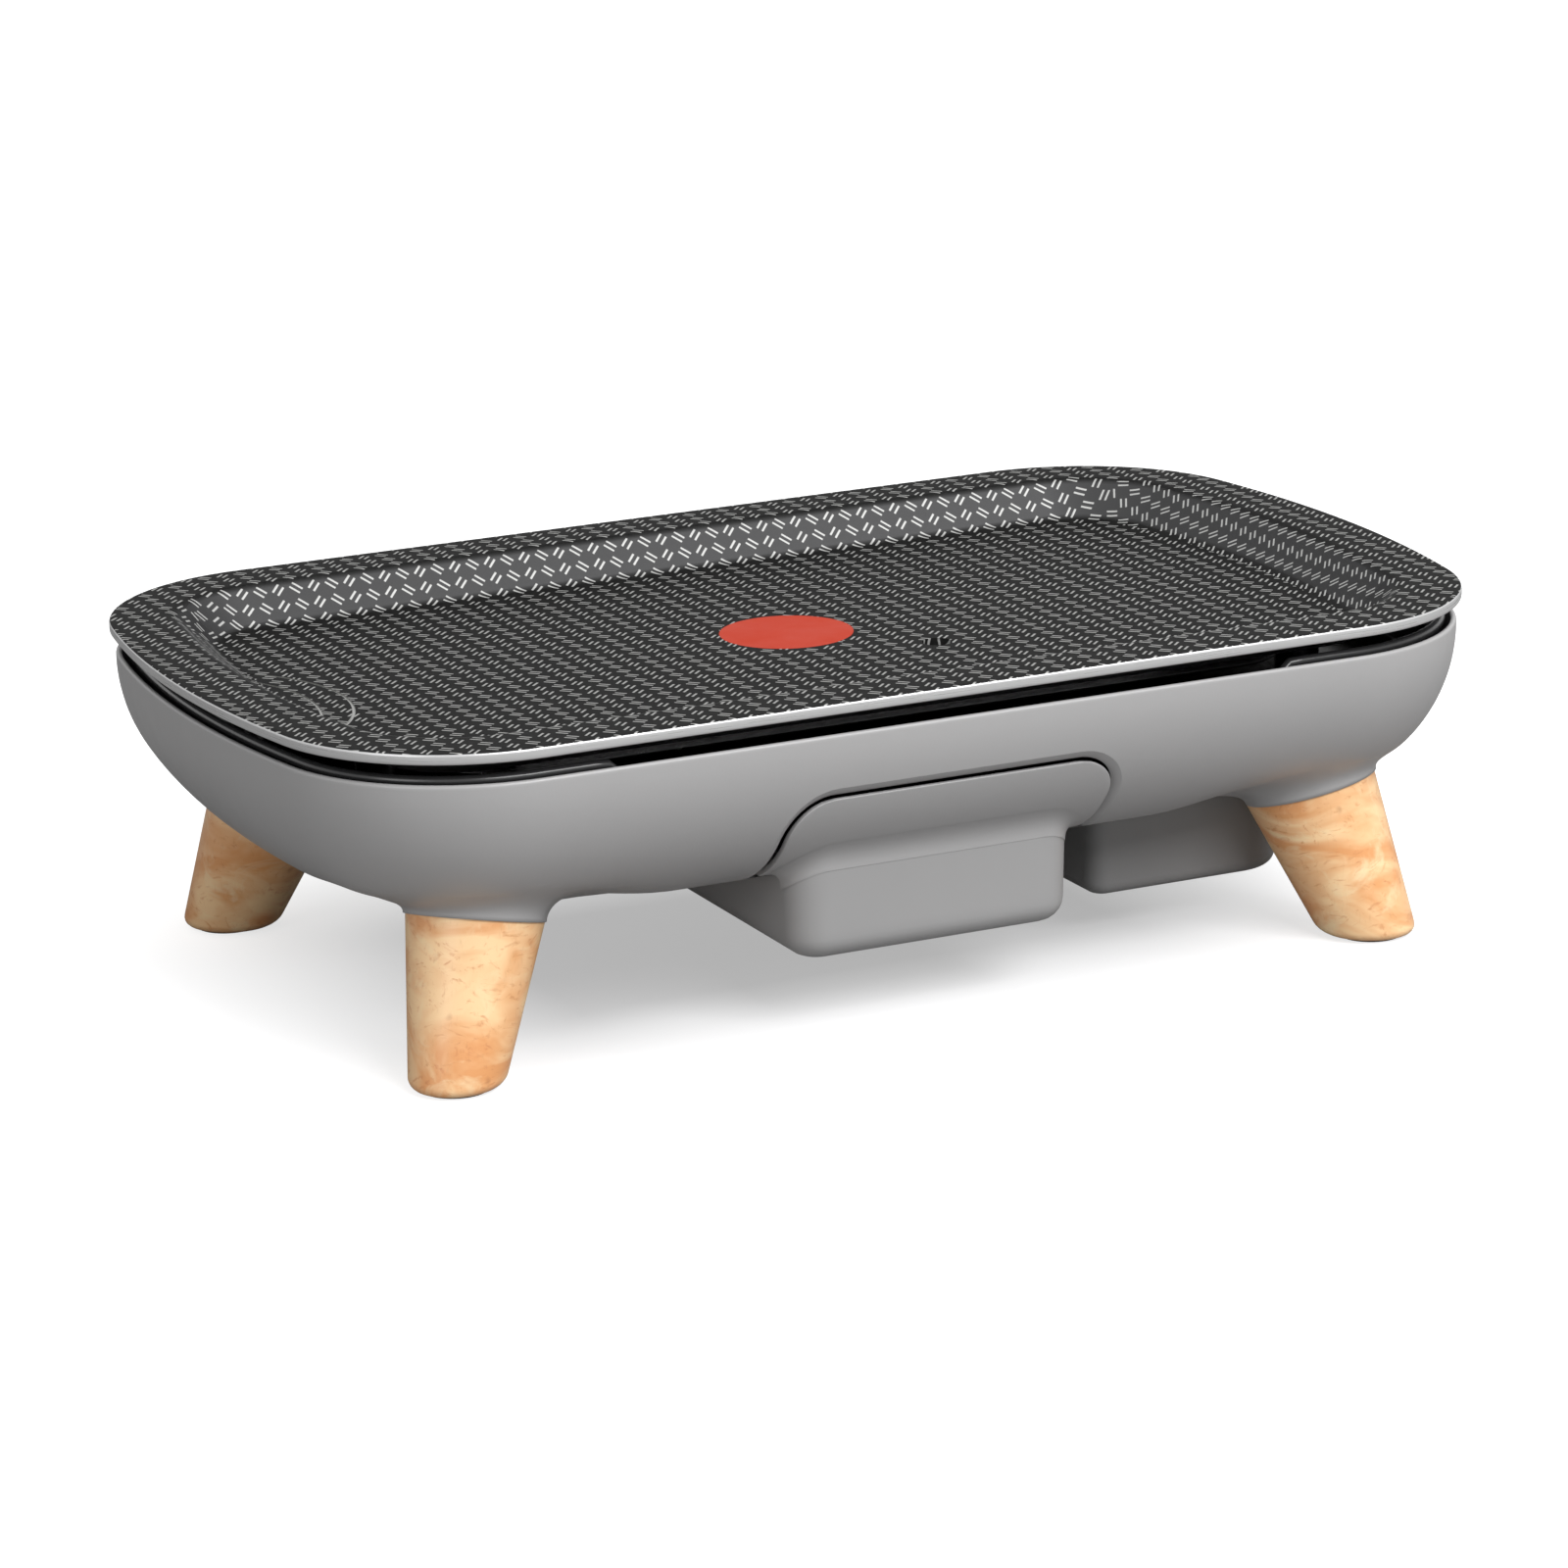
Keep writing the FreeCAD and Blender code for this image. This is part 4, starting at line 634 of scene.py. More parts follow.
def crescent(shrink):
    """The mark's outline: a shallow outer arc and a flatter inner one, closed by its two ends."""
    outer = MARK_BULGE - shrink
    inner = MARK_BULGE + 6
    outer_x = MARK_CENTRE - outer - shrink
    inner_x = MARK_CENTRE - inner - MARK_WIDTH + shrink
    reach = MARK_LENGTH / 2 - shrink
    steps = 40
    right = []
    left = []
    for step in range(steps + 1):
        y = -reach + 2 * reach * step / steps
        right.append((outer_x + math.sqrt(outer ** 2 - y ** 2), y))
        left.append((inner_x + math.sqrt(inner ** 2 - y ** 2), y))
    return right + list(reversed(left))


def mark_cutter():
    """A thin closed band along the crescent's outline, sunk into the well's floor."""
    wide = crescent(0.0)
    thin = crescent(MARK_LINE)
    low = WELL_FLOOR - MARK_DEPTH
    high = WELL_FLOOR + 1
    rings = [[(x, y, z) for x, y in plan] for plan, z in
             ((wide, low), (wide, high), (thin, high), (thin, low))]
    sections = [[ring[step] for ring in rings] for step in range(len(wide))]
    return lofted("mark_cutter", sections, COAT, around=True)


def in_the_mark(centre):
    """Faces of the sunk line, but not those of the drain or the disc's seat."""
    return WELL_FLOOR - 0.6 < centre.z < WELL_FLOOR - 0.05 and centre.x < MARK_CENTRE + 1


def edge_distance(place):
    """How far a point lies inside the plate's plan, along its short sides and corners."""
    x, y = abs(place.x), abs(place.y)
    turn_x, turn_y, sweep = corner_of(0.0, PLATE_CORNER)
    if math.atan2(y, x - BULGE_CENTRE) < sweep:
        return PLATE_BULGE - math.hypot(x - BULGE_CENTRE, y)
    if x > turn_x:
        return PLATE_CORNER - math.hypot(x - turn_x, y - turn_y)
    return PLATE_WIDTH / 2 - y


# The shell
def bowl_profile(inset, floor, radius, steps):
    """Pairs (inset, level) from the rim's foot down the quarter round to the floor's edge."""
    return [(inset + radius - across, level) for across, level in
            arc((0.0, floor + radius), radius, 0, -90, steps)]


def shell():
    """The bowl with its doorway, its collars over the legs and its posts and bosses inside."""
    outer = bowl_profile(SHELL_INSET, SHELL_FLOOR, BOWL_RADIUS, 34)
    inner = bowl_profile(SHELL_INSET + SHELL_WALL, SHELL_FLOOR + SHELL_WALL,
                         BOWL_RADIUS - SHELL_WALL, 20)
    lip = arc((SHELL_INSET + SHELL_WALL / 2, SHELL_TOP - SHELL_WALL / 2), SHELL_WALL / 2, 0, 180, 8)
    profile = [(BOTTOM_INSET, SHELL_FLOOR + SHELL_WALL), *reversed(inner), *lip, *outer,
               (BOTTOM_INSET, SHELL_FLOOR)]
    rings = [risen(plate_ring(inset, max(4.0, PLATE_CORNER - inset), level), inset)
             for inset, level in profile]
    bowl = lofted("shell_dressed", rings, SHELL_GREY)
    surface = BVHTree.FromObject(bowl, bpy.context.evaluated_depsgraph_get())
    carved(bowl, door_cutter(DOOR_BEVEL), slot_cutter())
    sharpened(bowl, 35)
    extras = [door_bevel(), *(collar(side, depth, surface) for side, depth in LEG_CORNERS)]
    extras += [sharpened(rod("tray_post", place, POST_RADIUS,
                             (SHELL_FLOOR + SHELL_WALL - 0.5, TRAY_FLOOR), 24, SHELL_GREY))
               for place in POSTS]
    extras += [boss(side, depth) for side, depth in LEG_CORNERS]
    on_body(joined("shell_dressed", [bowl, *extras]), "base", "grey_shell", "shell")


def risen(ring, inset):
    """Lifts the bowl's underside a little round each leg, outside the housing's edge."""
    band = CORNER_RISE * ramp(inset, *RISE_BEGINS) * ramp(inset, *RISE_ENDS)
    seat = (FOOT_RIGHT - LEG_LEAN * SEAT_HEIGHT, FOOT_BACK - LEG_LEAN * SEAT_HEIGHT)
    return [(x, y, z + band * ramp(math.dist((abs(x), abs(y)), seat), *RISE_REACH))
            for x, y, z in ring]


def arch(half, top, low, corner, steps=12):
    """Points (x, z) up the left side, over two rounded corners and down the right side."""
    points = [(-half, low)]
    points += arc((-half + corner, top - corner), corner, 180, 90, steps)
    points += arc((half - corner, top - corner), corner, 90, 0, steps)
    return points + [(half, low)]


def door_cutter(bevel):
    """The doorway, from in front of the bowl to well inside it."""
    outline = arch(DOOR_HALF + bevel, DOOR_TOP + bevel, DOOR_LOW, DOOR_CORNER + bevel)
    rings = [[(x, y, z) for x, z in outline] for y in (-170, -102)]
    return lofted("door_cutter", rings, SHELL_GREY)


def slot_cutter():
    """Opens the bowl's floor for the bin, with a little air round it."""
    half = BIN_HALF + 1.4
    plan = box_plan((-half, half), (-140, BIN_BACK + 2.4), [1.0] * 4, 2)
    return upright("slot_cutter", plan, (50, DOOR_LOW + 0.5), SHELL_GREY)


def bowl_front(z, inward=0.0):
    """The y of the bowl's straight front wall at a level, drawn in by a distance."""
    radius = BOWL_RADIUS - inward
    rise = min(radius, max(0.0, SHELL_FLOOR + BOWL_RADIUS - z))
    return -(BOWL_FLAT + math.sqrt(radius ** 2 - rise ** 2))


def door_bevel():
    """A slanted band round the door, then the opening's own wall."""
    rows = []
    for bevel, inward in ((DOOR_BEVEL, -0.02), (DOOR_BEVEL * 0.5, BEVEL_DEPTH * 0.42),
                          (0.25, BEVEL_DEPTH), (0.0, BEVEL_DEPTH + 0.3), (0.0, SHELL_WALL)):
        outline = arch(DOOR_HALF + bevel, DOOR_TOP + bevel, DOOR_LOW, DOOR_CORNER + bevel, 16)
        rows.append([(x, bowl_front(z, inward), z) for x, z in thickened(outline)])
    return sharpened(strip("door_bevel", rows, SHELL_GREY), 50)


def thickened(outline):
    """The arch's outline with its long runs cut into even short steps."""
    points = []
    for (x0, z0), (x1, z1) in zip(outline, outline[1:]):
        steps = 12 if abs(z1 - z0) > 12 else 24 if abs(x1 - x0) > 40 else 1
        for step in range(steps):
            share = step / steps
            points.append((x0 + (x1 - x0) * share, z0 + (z1 - z0) * share))
    return points + [outline[-1]]


def leg_frame(side, depth):
    """A leg's foot, its axis, the middle of its seat and the seat's normal."""
    foot = Vector((side * FOOT_RIGHT, depth * FOOT_BACK, 0.0))
    axis = Vector((-side * LEG_LEAN, -depth * LEG_LEAN, 1.0))
    seat = foot + axis * SEAT_HEIGHT
    normal = Vector((-side * SEAT_TILT, -depth * SEAT_TILT, 1.0)).normalized()
    return foot, axis.normalized(), seat, normal


def spoke(axis, turn):
    """The direction square to an axis at a turn round it."""
    first = axis.cross(Vector((0, 1, 0))).normalized()
    return first * math.cos(turn) + axis.cross(first).normalized() * math.sin(turn)


def collar(side, depth, surface):
    """The socket over a leg: a short round wall that flows out into the bowl.

    Its first two rows turn in beside the wood, and its last is sunk into the bowl's face.
    """
    _, _, seat, normal = leg_frame(side, depth)
    spans = 12
    rows = [[] for _ in range(spans + 4)]
    for turn in [*turns(72), math.tau]:
        out = spoke(normal, turn)
        low = seat + out * COLLAR_RADIUS
        start = seat + out * (COLLAR_RADIUS + COLLAR_FLARE) - normal * 60
        hit, face_normal, _, _ = surface.ray_cast(start * 0.001, normal)
        high = Vector(hit) * 1000
        along = (out - face_normal * out.dot(face_normal)).normalized()
        drop = max(1.0, (high - low).dot(normal))
        near = low + normal * drop * 0.5
        far = high - along * COLLAR_FLARE * 0.6
        rows[0].append(low + normal * 3 - out * 2.5)
        rows[1].append(low - out * 0.5)
        for span in range(spans + 1):
            rows[span + 2].append(bent(low, near, far, high, span / spans))
        rows[-1].append(high + along * 1.5 - face_normal * 0.3)
    return outwards(strip("collar", rows, SHELL_GREY))


def boss(side, depth):
    """The solid socket inside the shell that a leg's stud passes through."""
    _, _, seat, normal = leg_frame(side, depth)
    rings = []
    low = 0.05
    for height, radius in ((low, SEAT_RADIUS), (low, STUD_BORE), (BOSS_HEIGHT, STUD_BORE),
                           (BOSS_HEIGHT, BOSS_RADIUS), (SEAT_THICKNESS, BOSS_RADIUS),
                           (SEAT_THICKNESS, SEAT_RADIUS)):
        rings.append([seat + normal * height + spoke(normal, turn) * radius
                      for turn in turns(40)])
    return sharpened(lofted("boss", rings, SHELL_GREY, around=True))


def tray_lip():
    """The heat tray's rolled lip, which follows its long sides down and up again."""
    centre = TRAY_INSET + TRAY_WALL / 2
    path = []
    for place in plate_plan(centre, PLATE_CORNER - centre):
        if not path or math.dist(path[-1], place) > 0.5:
            path.append(place)
    dense = []
    for (x0, y0), (x1, y1) in zip(path, path[1:] + path[:1]):
        steps = max(1, int(math.dist((x0, y0), (x1, y1)) / 3))
        dense += [(x0 + (x1 - x0) * step / steps, y0 + (y1 - y0) * step / steps)
                  for step in range(steps)]
    rings = []
    for count, (x, y) in enumerate(dense):
        before = dense[count - 1]
        after = dense[(count + 1) % len(dense)]
        out = Vector((after[1] - before[1], before[0] - after[0], 0)).normalized()
        level = TRAY_TOP - LIP_RADIUS + LIP_ABOVE
        if abs(y) > PLATE_WIDTH / 4:
            level -= TRAY_DIP * ramp(abs(x), DIP_HALF + DIP_SLOPE, DIP_HALF)
        rings.append([Vector((x, y, level)) + out * LIP_RADIUS * math.cos(turn)
                      + Vector((0, 0, LIP_RADIUS * math.sin(turn))) for turn in turns(12)])
    on_body(lofted("tray_lip", rings, LIP_SHEEN_BLACK, around=True), "base", "black_tray")


# The drip drawer
def drawer():
    """The curved front panel, with the bin, its crease and its lips joined on."""
    rows = []
    steps = 40
    columns = 48
    for step in range(steps + 1):
        z = PANEL_LOW + (PANEL_TOP - PANEL_LOW) * step / steps
        rise = max(0.0, z - (PANEL_TOP - PANEL_CORNER))
        half = PANEL_HALF - PANEL_CORNER + math.sqrt(PANEL_CORNER ** 2 - rise ** 2)
        rows.append((z, half))
    points = [(half * (2 * column / columns - 1), bowl_front(z, inward), z)
              for inward in (0.0, SHELL_WALL) for z, half in rows for column in range(columns + 1)]
    width = columns + 1
    behind = width * (steps + 1)
    faces = []
    for row in range(steps):
        for column in range(columns):
            low = row * width + column
            faces.append((low, low + 1, low + width + 1, low + width))
            low += behind
            faces.append((low, low + width, low + width + 1, low + 1))
    rim = list(range(width))
    rim += [row * width + columns for row in range(1, steps + 1)]
    rim += [steps * width + column for column in range(columns - 1, -1, -1)]
    rim += [row * width for row in range(steps - 1, 0, -1)]
    for here, there in zip(rim, rim[1:] + rim[:1]):
        faces.append((there, here, here + behind, there + behind))
    panel = outwards(made("drawer_panel", points, faces, SHELL_GREY))
    applied(panel, "BEVEL", width=0.0006, segments=3, limit_method="ANGLE",
            angle_limit=math.radians(50))
    whole = joined("drip_drawer_dressed", [panel, drawer_bin(), drawer_crease(), *drawer_lips()])
    on_body(whole, "drawer", "grey_shell", "drip_drawer")


def bin_ring(draw_in, level):
    """The bin's plan at a level: its draft draws it in, and its front wall is lifted."""
    inset = draw_in + (BIN_DRAFT_TOP - level) * BIN_DRAFT
    lift = BIN_FRONT_RISE * max(0.0, (level - BIN_RISE_FROM) / (BIN_HIGH - BIN_RISE_FROM))
    corners = [max(1.0, BIN_CORNER - inset)] * 2 + [max(1.0, BIN_REAR_CORNER - inset)] * 2
    plan = box_plan((-BIN_HALF + inset, BIN_HALF - inset),
                    (-BIN_FRONT + inset, BIN_BACK - inset), corners)
    return [(x, y, level + lift * ramp(y, *BIN_RISE_RUN)) for x, y in plan]


def drawer_bin():
    """The open box under the panel: up its outside, over its edge and down its inside."""
    centre = (BIN_FOOT, BIN_LOW + BIN_FOOT)
    levels = [centre[1] + (BIN_HIGH - 0.6 - BIN_LOW - BIN_FOOT) * step / 10
              for step in range(1, 11)]
    profile = arc(centre, BIN_FOOT, 270, 180, 6) + [(0.0, level) for level in levels]
    profile += [(0.5, BIN_HIGH), (BIN_WALL - 0.5, BIN_HIGH)]
    profile += [(BIN_WALL, level) for level in reversed(levels)]
    profile += arc(centre, BIN_FOOT - BIN_WALL, 180, 270, 6)
    return sharpened(lofted("drawer_bin", [bin_ring(*place) for place in profile], BIN_SHADED_GREY), 50)


def bowl_level(y):
    """The level of the bowl's straight front wall at a y."""
    return SHELL_FLOOR + BOWL_RADIUS - math.sqrt(BOWL_RADIUS ** 2 - (abs(y) - BOWL_FLAT) ** 2)


def drawer_crease():
    """The soft hollow where the panel runs out into the bin's front."""
    inset = (BIN_DRAFT_TOP - LIP_LEVELS[1]) * BIN_DRAFT
    corner = BIN_CORNER - inset
    turn_x = BIN_HALF - inset - corner
    front = -BIN_FRONT + inset

    def round_corner(x, start):
        centre = (x, front + corner)
        return [(*place, Vector((place[0] - x, place[1] - centre[1], 0)).normalized())
                for place in arc(centre, corner, start, start + 90, 14)]

    outline = round_corner(-turn_x, 180)
    outline += [(turn_x * (2 * step / 30 - 1), front, Vector((0, -1, 0))) for step in range(1, 30)]
    outline += round_corner(turn_x, 270)
    reach = 6.0
    hollow = 7.0
    spans = 10
    rows = [[] for _ in range(spans + 1)]
    for x, y, out in outline:
        level = bowl_level(y)
        low = Vector((x, y, level - hollow)) + out * 0.05
        away = Vector((x, y, 0)) + out * reach
        away.z = bowl_level(away.y)
        slope = (away.z - level) / reach
        high = away + Vector((0, -0.04, -0.04))
        near = low + Vector((0, 0, 5.2))
        far = high - Vector((out.x, out.y, slope)) * reach * 0.72
        for span in range(spans + 1):
            rows[span].append(bent(low, near, far, high, span / spans))
    return outwards(strip("drawer_crease", rows, SHELL_GREY))


def drawer_lips():
    """The two flat lips that run in the rails."""
    lips = []
    for side in (-1, 1):
        ends = sorted((side * (BIN_HALF - 1.5), side * PANEL_HALF))
        plan = box_plan(ends, (-120, 17), [0.8] * 4, 2)
        lips.append(sharpened(upright("drawer_lip", plan, LIP_LEVELS, SHELL_GREY)))
    return lips


# The legs
def leg(side, depth, name):
    """A slanted cone from a rounded edge on the pad up to its seat in the shell."""
    foot, axis, seat, normal = leg_frame(side, depth)

    def on_cone(turn, plane_point, plane_normal, draw_in=0.0):
        out = spoke(axis, turn)
        start = foot + out * (LEG_RADIUS - draw_in)
        slant = axis + out * LEG_TAPER
        return start - slant * ((start - plane_point).dot(plane_normal) / slant.dot(plane_normal))

    up = Vector((0, 0, 1))
    rings = []
    for angle in [math.radians(degrees) for degrees in range(0, 91, 15)]:
        draw_in = LEG_EDGE * (1 - math.sin(angle))
        level = Vector((0, 0, LEG_LOW + LEG_EDGE * (1 - math.cos(angle))))
        rings.append([on_cone(turn, level, up, draw_in) for turn in turns(64)])
    foot_edge = Vector((0, 0, LEG_LOW + LEG_EDGE))
    for share in (0.25, 0.5, 0.75, 1.0):
        rings.append([on_cone(turn, foot_edge, up).lerp(on_cone(turn, seat, normal), share)
                      for turn in turns(64)])
    piece = sharpened(lofted(f"{name}_dressed", rings, WOOD), 40)
    on_body(piece, "base", "pale_wood", name)


# What repeats: copies of one small shape, set round a circle or at given points
def copies_tree(name, ring):
    """Geometry nodes: points on a circle about the X axis, or the mesh's own points."""
    tree = bpy.data.node_groups.new(name, "GeometryNodeTree")
    inputs = {"Geometry": "Geometry", "Copy": "Object", "Finish": "Material", "Seed": "Int"}
    if ring:
        inputs.update({"Count": "Int", "Radius": "Float", "Step Angle": "Float"})
    for label, kind in inputs.items():
        tree.interface.new_socket(name=label, in_out="INPUT", socket_type=f"NodeSocket{kind}")
    tree.interface.new_socket(name="Geometry", in_out="OUTPUT", socket_type="NodeSocketGeometry")
    do = partial(math_of, tree)
    given = add(tree, "NodeGroupInput").outputs
    source = add(tree, "GeometryNodeObjectInfo", {"Object": given["Copy"]})
    if ring:
        index = add(tree, "GeometryNodeInputIndex").outputs[0]
        angle = do("MULTIPLY", index, given["Step Angle"])
        place = add(tree, "ShaderNodeCombineXYZ", {
            "Y": do("MULTIPLY", do("SINE", angle), given["Radius"]),
            "Z": do("MULTIPLY", do("COSINE", angle), given["Radius"])})
        points = add(tree, "GeometryNodePoints", {
            "Count": given["Count"], "Position": place.outputs[0]}).outputs[0]
        turned = add(tree, "ShaderNodeCombineXYZ", {"X": do("MULTIPLY", angle, -1.0)}).outputs[0]
    else:
        points = add(tree, "GeometryNodeMeshToPoints", {"Mesh": given["Geometry"]}).outputs[0]
        chance = add(tree, "FunctionNodeRandomValue", {"Seed": given["Seed"]}, data_type="FLOAT")
        turned = add(tree, "ShaderNodeCombineXYZ", {
            "Z": do("MULTIPLY", chance.outputs["Value"], math.tau)}).outputs[0]
    spots = add(tree, "GeometryNodeInstanceOnPoints", {
        "Points": points, "Instance": source.outputs["Geometry"], "Rotation": turned})
    whole = add(tree, "GeometryNodeRealizeInstances", {"Geometry": spots.outputs[0]})
    dressed = add(tree, "GeometryNodeSetMaterial", {
        "Geometry": whole.outputs[0], "Material": given["Finish"]})
    add(tree, "NodeGroupOutput", {"Geometry": dressed.outputs[0]})
    return tree


def copies(name, tree, copy, finish, centre=(0.0, 0.0, 0.0), points=(), **values):
    """The mesh that a copies tree makes, moved so that its circle's centre is in place."""
    holder = made(name, points, [], finish)
    change = holder.modifiers.new("Copies", "NODES")
    change.node_group = tree
    values.update({"Copy": copy, "Finish": finish})
    for socket in tree.interface.items_tree:
        label = socket.name.replace(" ", "_")
        if socket.in_out == "INPUT" and label in values:
            change[socket.identifier] = values[label]
    holder.update_tag()
    mesh = result(holder)
    holder.modifiers.clear()
    holder.data = mesh
    mesh.transform(Matrix.Translation(Vector(centre) * 0.001))
    bpy.data.objects.remove(copy)
    return outwards(holder)


def knob(ring):
    """A skirted cap with twelve ribs and a light pointer."""
    x0 = KNOB_START
    end = x0 + KNOB_DEPTH
    bore_end = x0 + 12.9
    y, z = KNOB_CENTRE
    profile = [(x0, SHAFT_BORE), (x0, 11.5), (x0 + 0.15, 11.85), (x0 + 0.5, 12.0),
               (x0 + 2.4, 12.0), (x0 + 2.8, 11.85), (x0 + 3.0, 11.5), (x0 + 3.1, 10.7),
               (end - 1.3, 10.2), (end - 0.7, 10.0), (end - 0.35, 9.6), (end - 0.3, 9.0),
               (end - 0.5, 0.4), (bore_end, 0.4), (bore_end, SHAFT_BORE)]
    rings = [[(x, y + radius * math.cos(turn), z + radius * math.sin(turn))
              for turn in turns(72)] for x, radius in profile]
    body = sharpened(lofted("knob_body", rings, BLACK_PLASTIC, around=True))
    rings = []
    low = 9.6 - RIB_RADIUS
    for x, height, half in ((2.6, 11.6, 1.7), (3.0, 12.0, 1.95), (KNOB_DEPTH - 1.2, 11.15, 1.8),
                            (KNOB_DEPTH - 0.5, 10.8, 1.65), (KNOB_DEPTH - 0.1, 10.2, 1.3)):
        high = height - RIB_RADIUS
        right = [(half, low), (half, high - 0.7), (half - 0.2, high - 0.25), (half - 0.65, high)]
        left = [(-across, level) for across, level in reversed(right)]
        rings.append([(x, *place) for place in [left[-1], *right, (0, high + 0.03), *left[:-1]]])
    rib = sharpened(lofted("knob_rib", rings, BLACK_PLASTIC), 50)
    ribs = copies("knob_ribs", ring, rib, BLACK_PLASTIC, (x0, y, z), Seed=1, Count=KNOB_RIBS,
                  Radius=RIB_RADIUS / 1000, Step_Angle=math.tau / KNOB_RIBS)
    plan = box_plan((y - 0.75, y + 0.75), (z + 3.2, z + 9.4), [0.7] * 4, 5)
    pointer = sharpened(lofted("knob_pointer", [[(x, py, pz) for py, pz in plan]
                                                for x in (end - 0.9, end - 0.02)], DIAL_PRINT))
    whole = joined("thermostat_knob_dressed", [body, sharpened(ribs, 50), pointer])
    on_body(whole, "dial", "dark_plastic", "thermostat_knob")


def dial_marks(ring):
    """Eleven ticks and the figures 0 to 5 round the knob, clockwise over its turn."""
    y, z = KNOB_CENTRE
    plan = box_plan((-0.3, 0.3), (-0.8, 0.8), [0.25] * 4, 3)
    tick = lofted("tick", [[(x, py, pz) for py, pz in plan] for x in (-0.2, 0.12)], DIAL_PRINT)
    parts = [copies("dial_ticks", ring, tick, DIAL_PRINT, (HOUSING_RIGHT, y, z), Seed=2,
                    Count=11, Radius=TICK_RADIUS / 1000, Step_Angle=TICK_STEP)]
    outward = Matrix(((0, 0, 1), (1, 0, 0), (0, 1, 0))).to_4x4()
    for figure in range(6):
        letter = bpy.data.curves.new("figure", "FONT")
        letter.body = str(figure)
        letter.size = FIGURE_SIZE / 1000
        letter.extrude = 0.00015
        letter.align_x = "CENTER"
        letter.align_y = "CENTER"
        holder = linked("figure", letter)
        mesh = result(holder)
        bpy.data.objects.remove(holder)
        turn = 2 * TICK_STEP * figure
        place = Vector((HOUSING_RIGHT - 0.03, y + FIGURE_RADIUS * math.sin(turn),
                        z + FIGURE_RADIUS * math.cos(turn)))
        mesh.transform(Matrix.Translation(place * 0.001) @ outward)
        mesh.materials.clear()
        mesh.materials.append(DIAL_PRINT)
        parts.append(outwards(linked(f"figure_{figure}", mesh)))
    on_body(joined("dial_marks", parts), "base", "dark_plastic")


def screw(length, way):
    """A pan-head screw with a cross recess; the seat of its head is at level 0."""
    profile = [(-length, 0.3)]
    threads = int(length - 2)
    for step in range(2 * threads):
        profile.append((-length + 1.0 + step * 0.5, 1.5 if step % 2 else 1.25))
    profile += [(-0.6, 1.5), (0.0, 1.5), (0.0, 3.1), (0.25, 3.2), (0.9, 3.1), (1.5, 2.6),
                (1.9, 1.7), (2.0, 0.5)]
    rings = [[(radius * math.cos(turn), radius * math.sin(turn), way * level)
              for turn in turns(24)] for level, radius in profile]
    body = lofted("screw", rings, ZINC)
    for across, deep in ((1.9, 0.45), (0.45, 1.9)):
        plan = box_plan((-across, across), (-deep, deep), [0.15] * 4, 2)
        carved(body, upright("recess", plan, (way * 1.0, way * 3.0), ZINC))
    return sharpened(body, 35)


def screws():
    """The tray's screws stand head up, those of the rails and the housing head down."""
    points = copies_tree("copies_at_points", False)
    groups = [
        ("tray_screws", SCREW_BITE, 1, TRAY_FLOOR + TRAY_WALL, POSTS),
        ("rail_screws", SHELL_WALL + 5, -1, SHELL_FLOOR,
         [(x, y) for x in (-RAIL_CENTRE, RAIL_CENTRE) for y in (-60, 12)]),
        ("housing_screws", HOUSING_SCREW, -1, HOUSING_LOW + 2.2,
         [(x, y) for x in (108.5, 175) for y in (-67, 62)]),
    ]
    for name, length, way, level, places in groups:
        whole = copies(f"{name}_dressed", points, screw(length, way), ZINC,
                       points=[(x, y, level) for x, y in places], Seed=5)
        on_body(sharpened(whole, 35), "base", "zinc_steel", name)


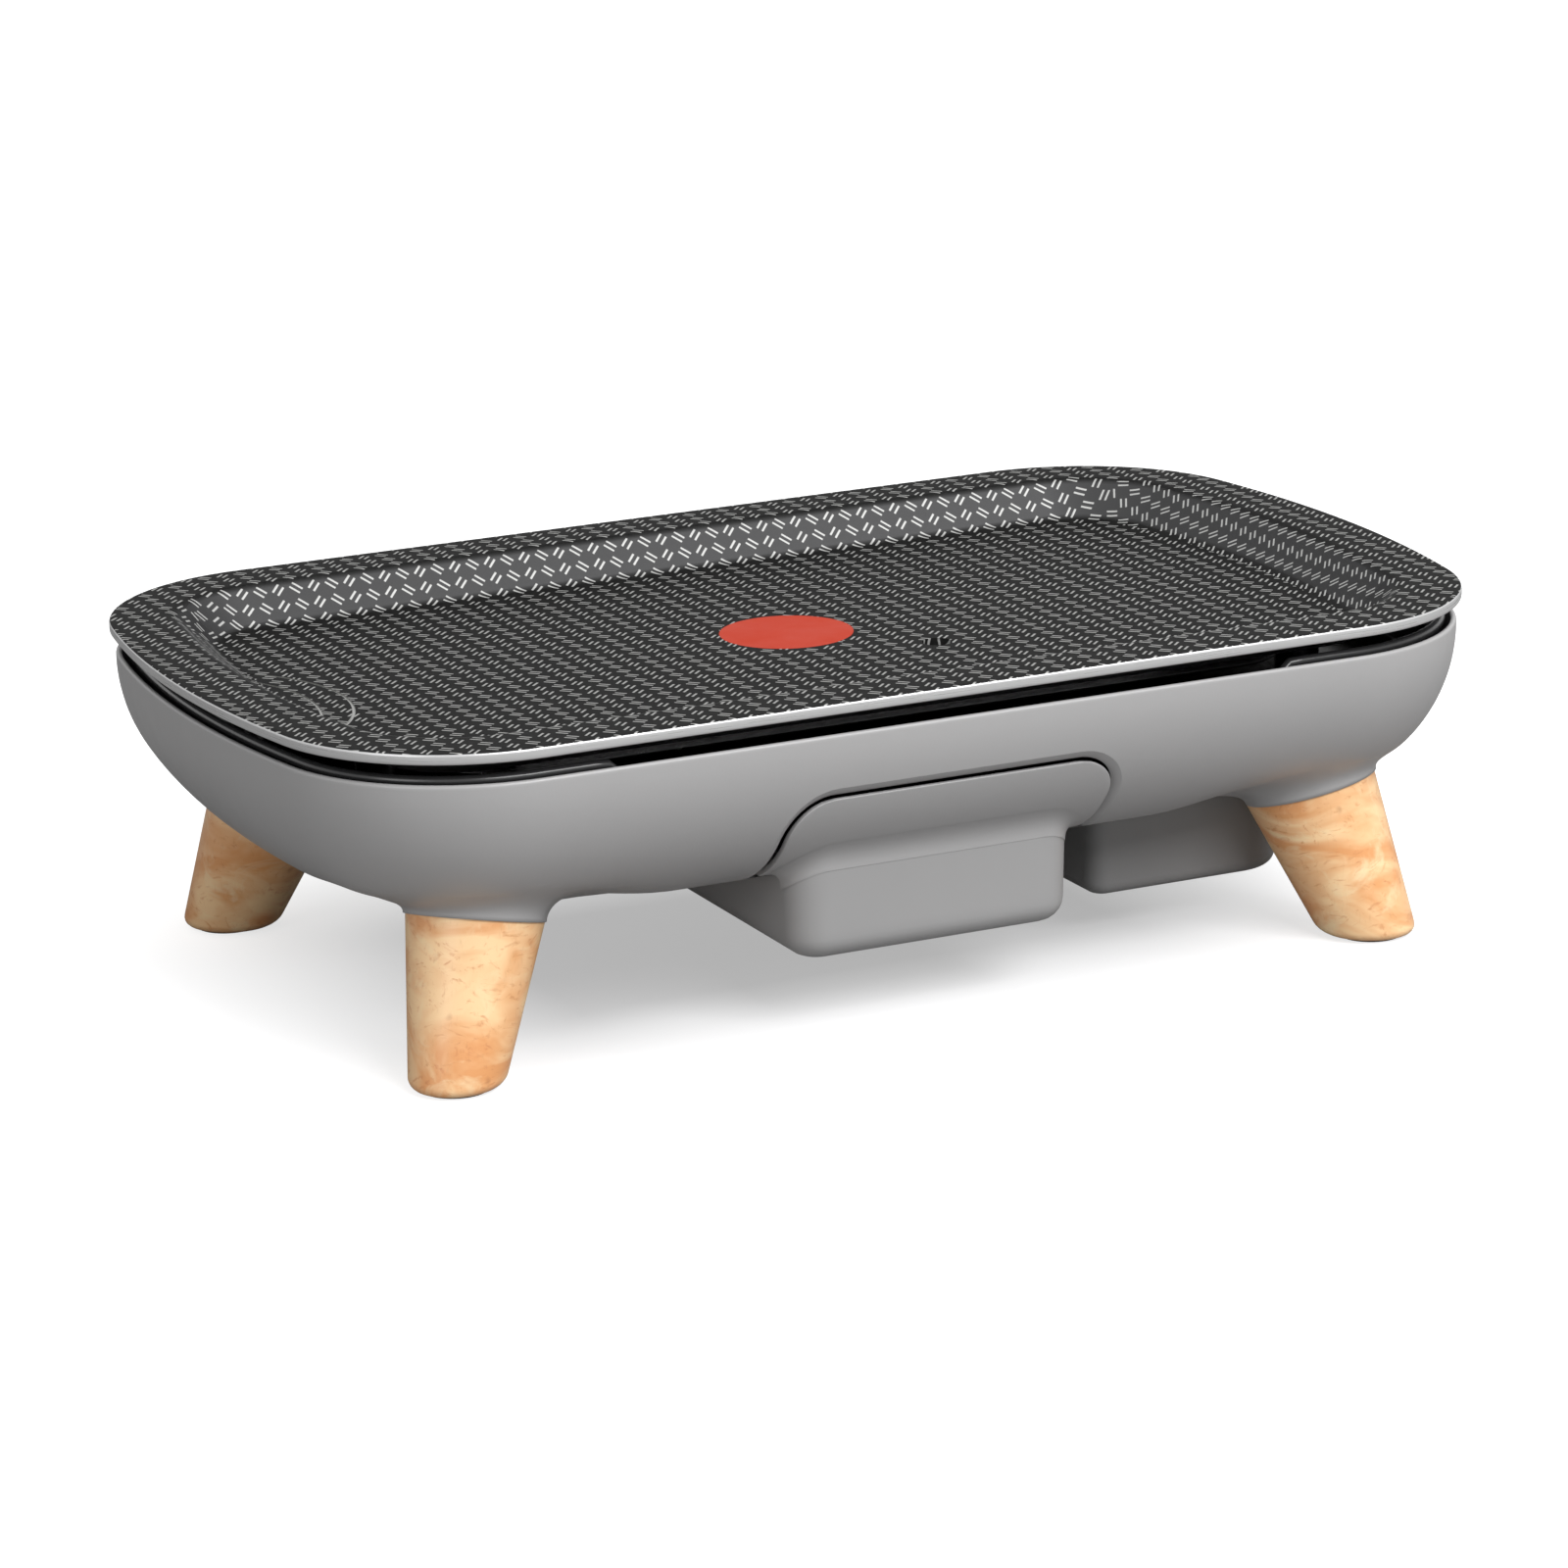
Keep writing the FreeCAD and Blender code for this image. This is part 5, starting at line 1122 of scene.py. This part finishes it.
# The room, the lamps and the camera
def floor_and_backdrop():
    """A near-white floor that glows for the camera only, less over the footprint as a painted
    shadow, and a white world.
    """
    finish, tree, shader = blank_finish("pale_floor", (0.5, 0.5, 0.505), 0.9, specular=0.0)
    do = partial(math_of, tree)
    seen = add(tree, "ShaderNodeLightPath").outputs["Is Camera Ray"]
    tree.links.new(mixed(tree, seen, (0.3, 0.3, 0.3), (0.42, 0.42, 0.425)),
                   shader.inputs["Base Color"])
    # Painted shadow: the camera-only glow is weaker over the object's footprint, darkening the
    # floor there beyond its cast shadow
    apart = parted(tree, coordinates(tree, "Object"))
    beyond = [do("MAXIMUM", do("SUBTRACT", do("ABSOLUTE", apart[axis]), reach), 0.0)
              for axis, reach in (("X", 0.12), ("Y", 0.06))]
    away = do("SQRT", do("ADD", *(do("POWER", side, 2.0) for side in beyond)))
    glow_with_painted_shadow = spread(tree, away, 0.0, 0.16, 0.42, 0.97)
    glow = add(tree, "ShaderNodeEmission", {
        "Color": (1, 1, 1, 1), "Strength": do("MULTIPLY", seen, glow_with_painted_shadow)})
    both = add(tree, "ShaderNodeAddShader", {0: shader.outputs[0], 1: glow.outputs[0]})
    tree.links.new(both.outputs[0], tree.nodes["Material Output"].inputs["Surface"])
    size = 9000
    places = [(-size, -size, 0), (size, -size, 0), (size, size, 0), (-size, size, 0)]
    ground = made("floor", places, [(0, 1, 2, 3)], finish)
    world = bpy.data.worlds.new("studio")
    bpy.context.scene.world = world
    world.use_nodes = True
    room = world.node_tree
    path = add(room, "ShaderNodeLightPath").outputs
    mirrored = math_of(room, "MAXIMUM", path["Is Glossy Ray"], path["Is Transmission Ray"])
    seen = math_of(room, "MAXIMUM", path["Is Camera Ray"], mirrored)
    back = room.nodes["Background"].inputs
    back["Color"].default_value = (1, 1, 1, 1)
    room.links.new(math_of(room, "MAXIMUM", seen, 0.36), back["Strength"])


def lamp(name, place, aim, size, power):
    """A square-edged softbox in metres and watts, turned towards a point."""
    light = bpy.data.lights.new(name, "AREA")
    light.shape = "RECTANGLE"
    light.size, light.size_y = size
    light.energy = power
    holder = linked(name, light)
    holder.location = place
    direction = Vector(aim) - Vector(place)
    holder.rotation_euler = direction.to_track_quat("-Z", "Y").to_euler()


def camera():
    """Looks at the object from the front left, a little from above, over a long distance."""
    azimuth, height, roll = (math.radians(angle) for angle in (-25.1, 15.65, -1.43))
    aim = Vector((-0.0027, 0.0, 0.0614))
    distance = 2.509
    back = Vector((math.sin(azimuth) * math.cos(height), -math.cos(azimuth) * math.cos(height),
                   math.sin(height)))
    right = Vector((math.cos(azimuth), math.sin(azimuth), 0))
    up = back.cross(right)
    turned_right = right * math.cos(roll) + up * math.sin(roll)
    turned_up = up * math.cos(roll) - right * math.sin(roll)
    lens = bpy.data.cameras.new("photo_view")
    lens.lens = 142.65
    lens.sensor_width = 36.0
    holder = linked("photo_view", lens)
    turn = Matrix((turned_right, turned_up, back)).transposed().to_4x4()
    holder.matrix_world = Matrix.Translation(aim + back * distance) @ turn
    bpy.context.scene.camera = holder


finish_the_solids()
cooking_plate()
shell()
tray_lip()
drawer()
for leg_side, leg_depth in LEG_CORNERS:
    row = "front" if leg_depth < 0 else "back"
    leg(leg_side, leg_depth, f"leg_{row}_{'left' if leg_side < 0 else 'right'}")
ring_tree = copies_tree("copies_round_a_circle", True)
knob(ring_tree)
dial_marks(ring_tree)
screws()
floor_and_backdrop()
lamp("softbox_above", (0.9, -0.85, 1.85), (0, 0, 0.1), (1.6, 1.2), 21)
lamp("softbox_front", (0.35, -1.75, 1.6), (0, 0, 0.08), (1.5, 1.0), 42)
lamp("left_fill", (-2.0, -1.1, 0.9), (0, 0, 0.06), (1.0, 1.0), 9)
camera()
bpy.context.scene.view_settings.view_transform = "Standard"
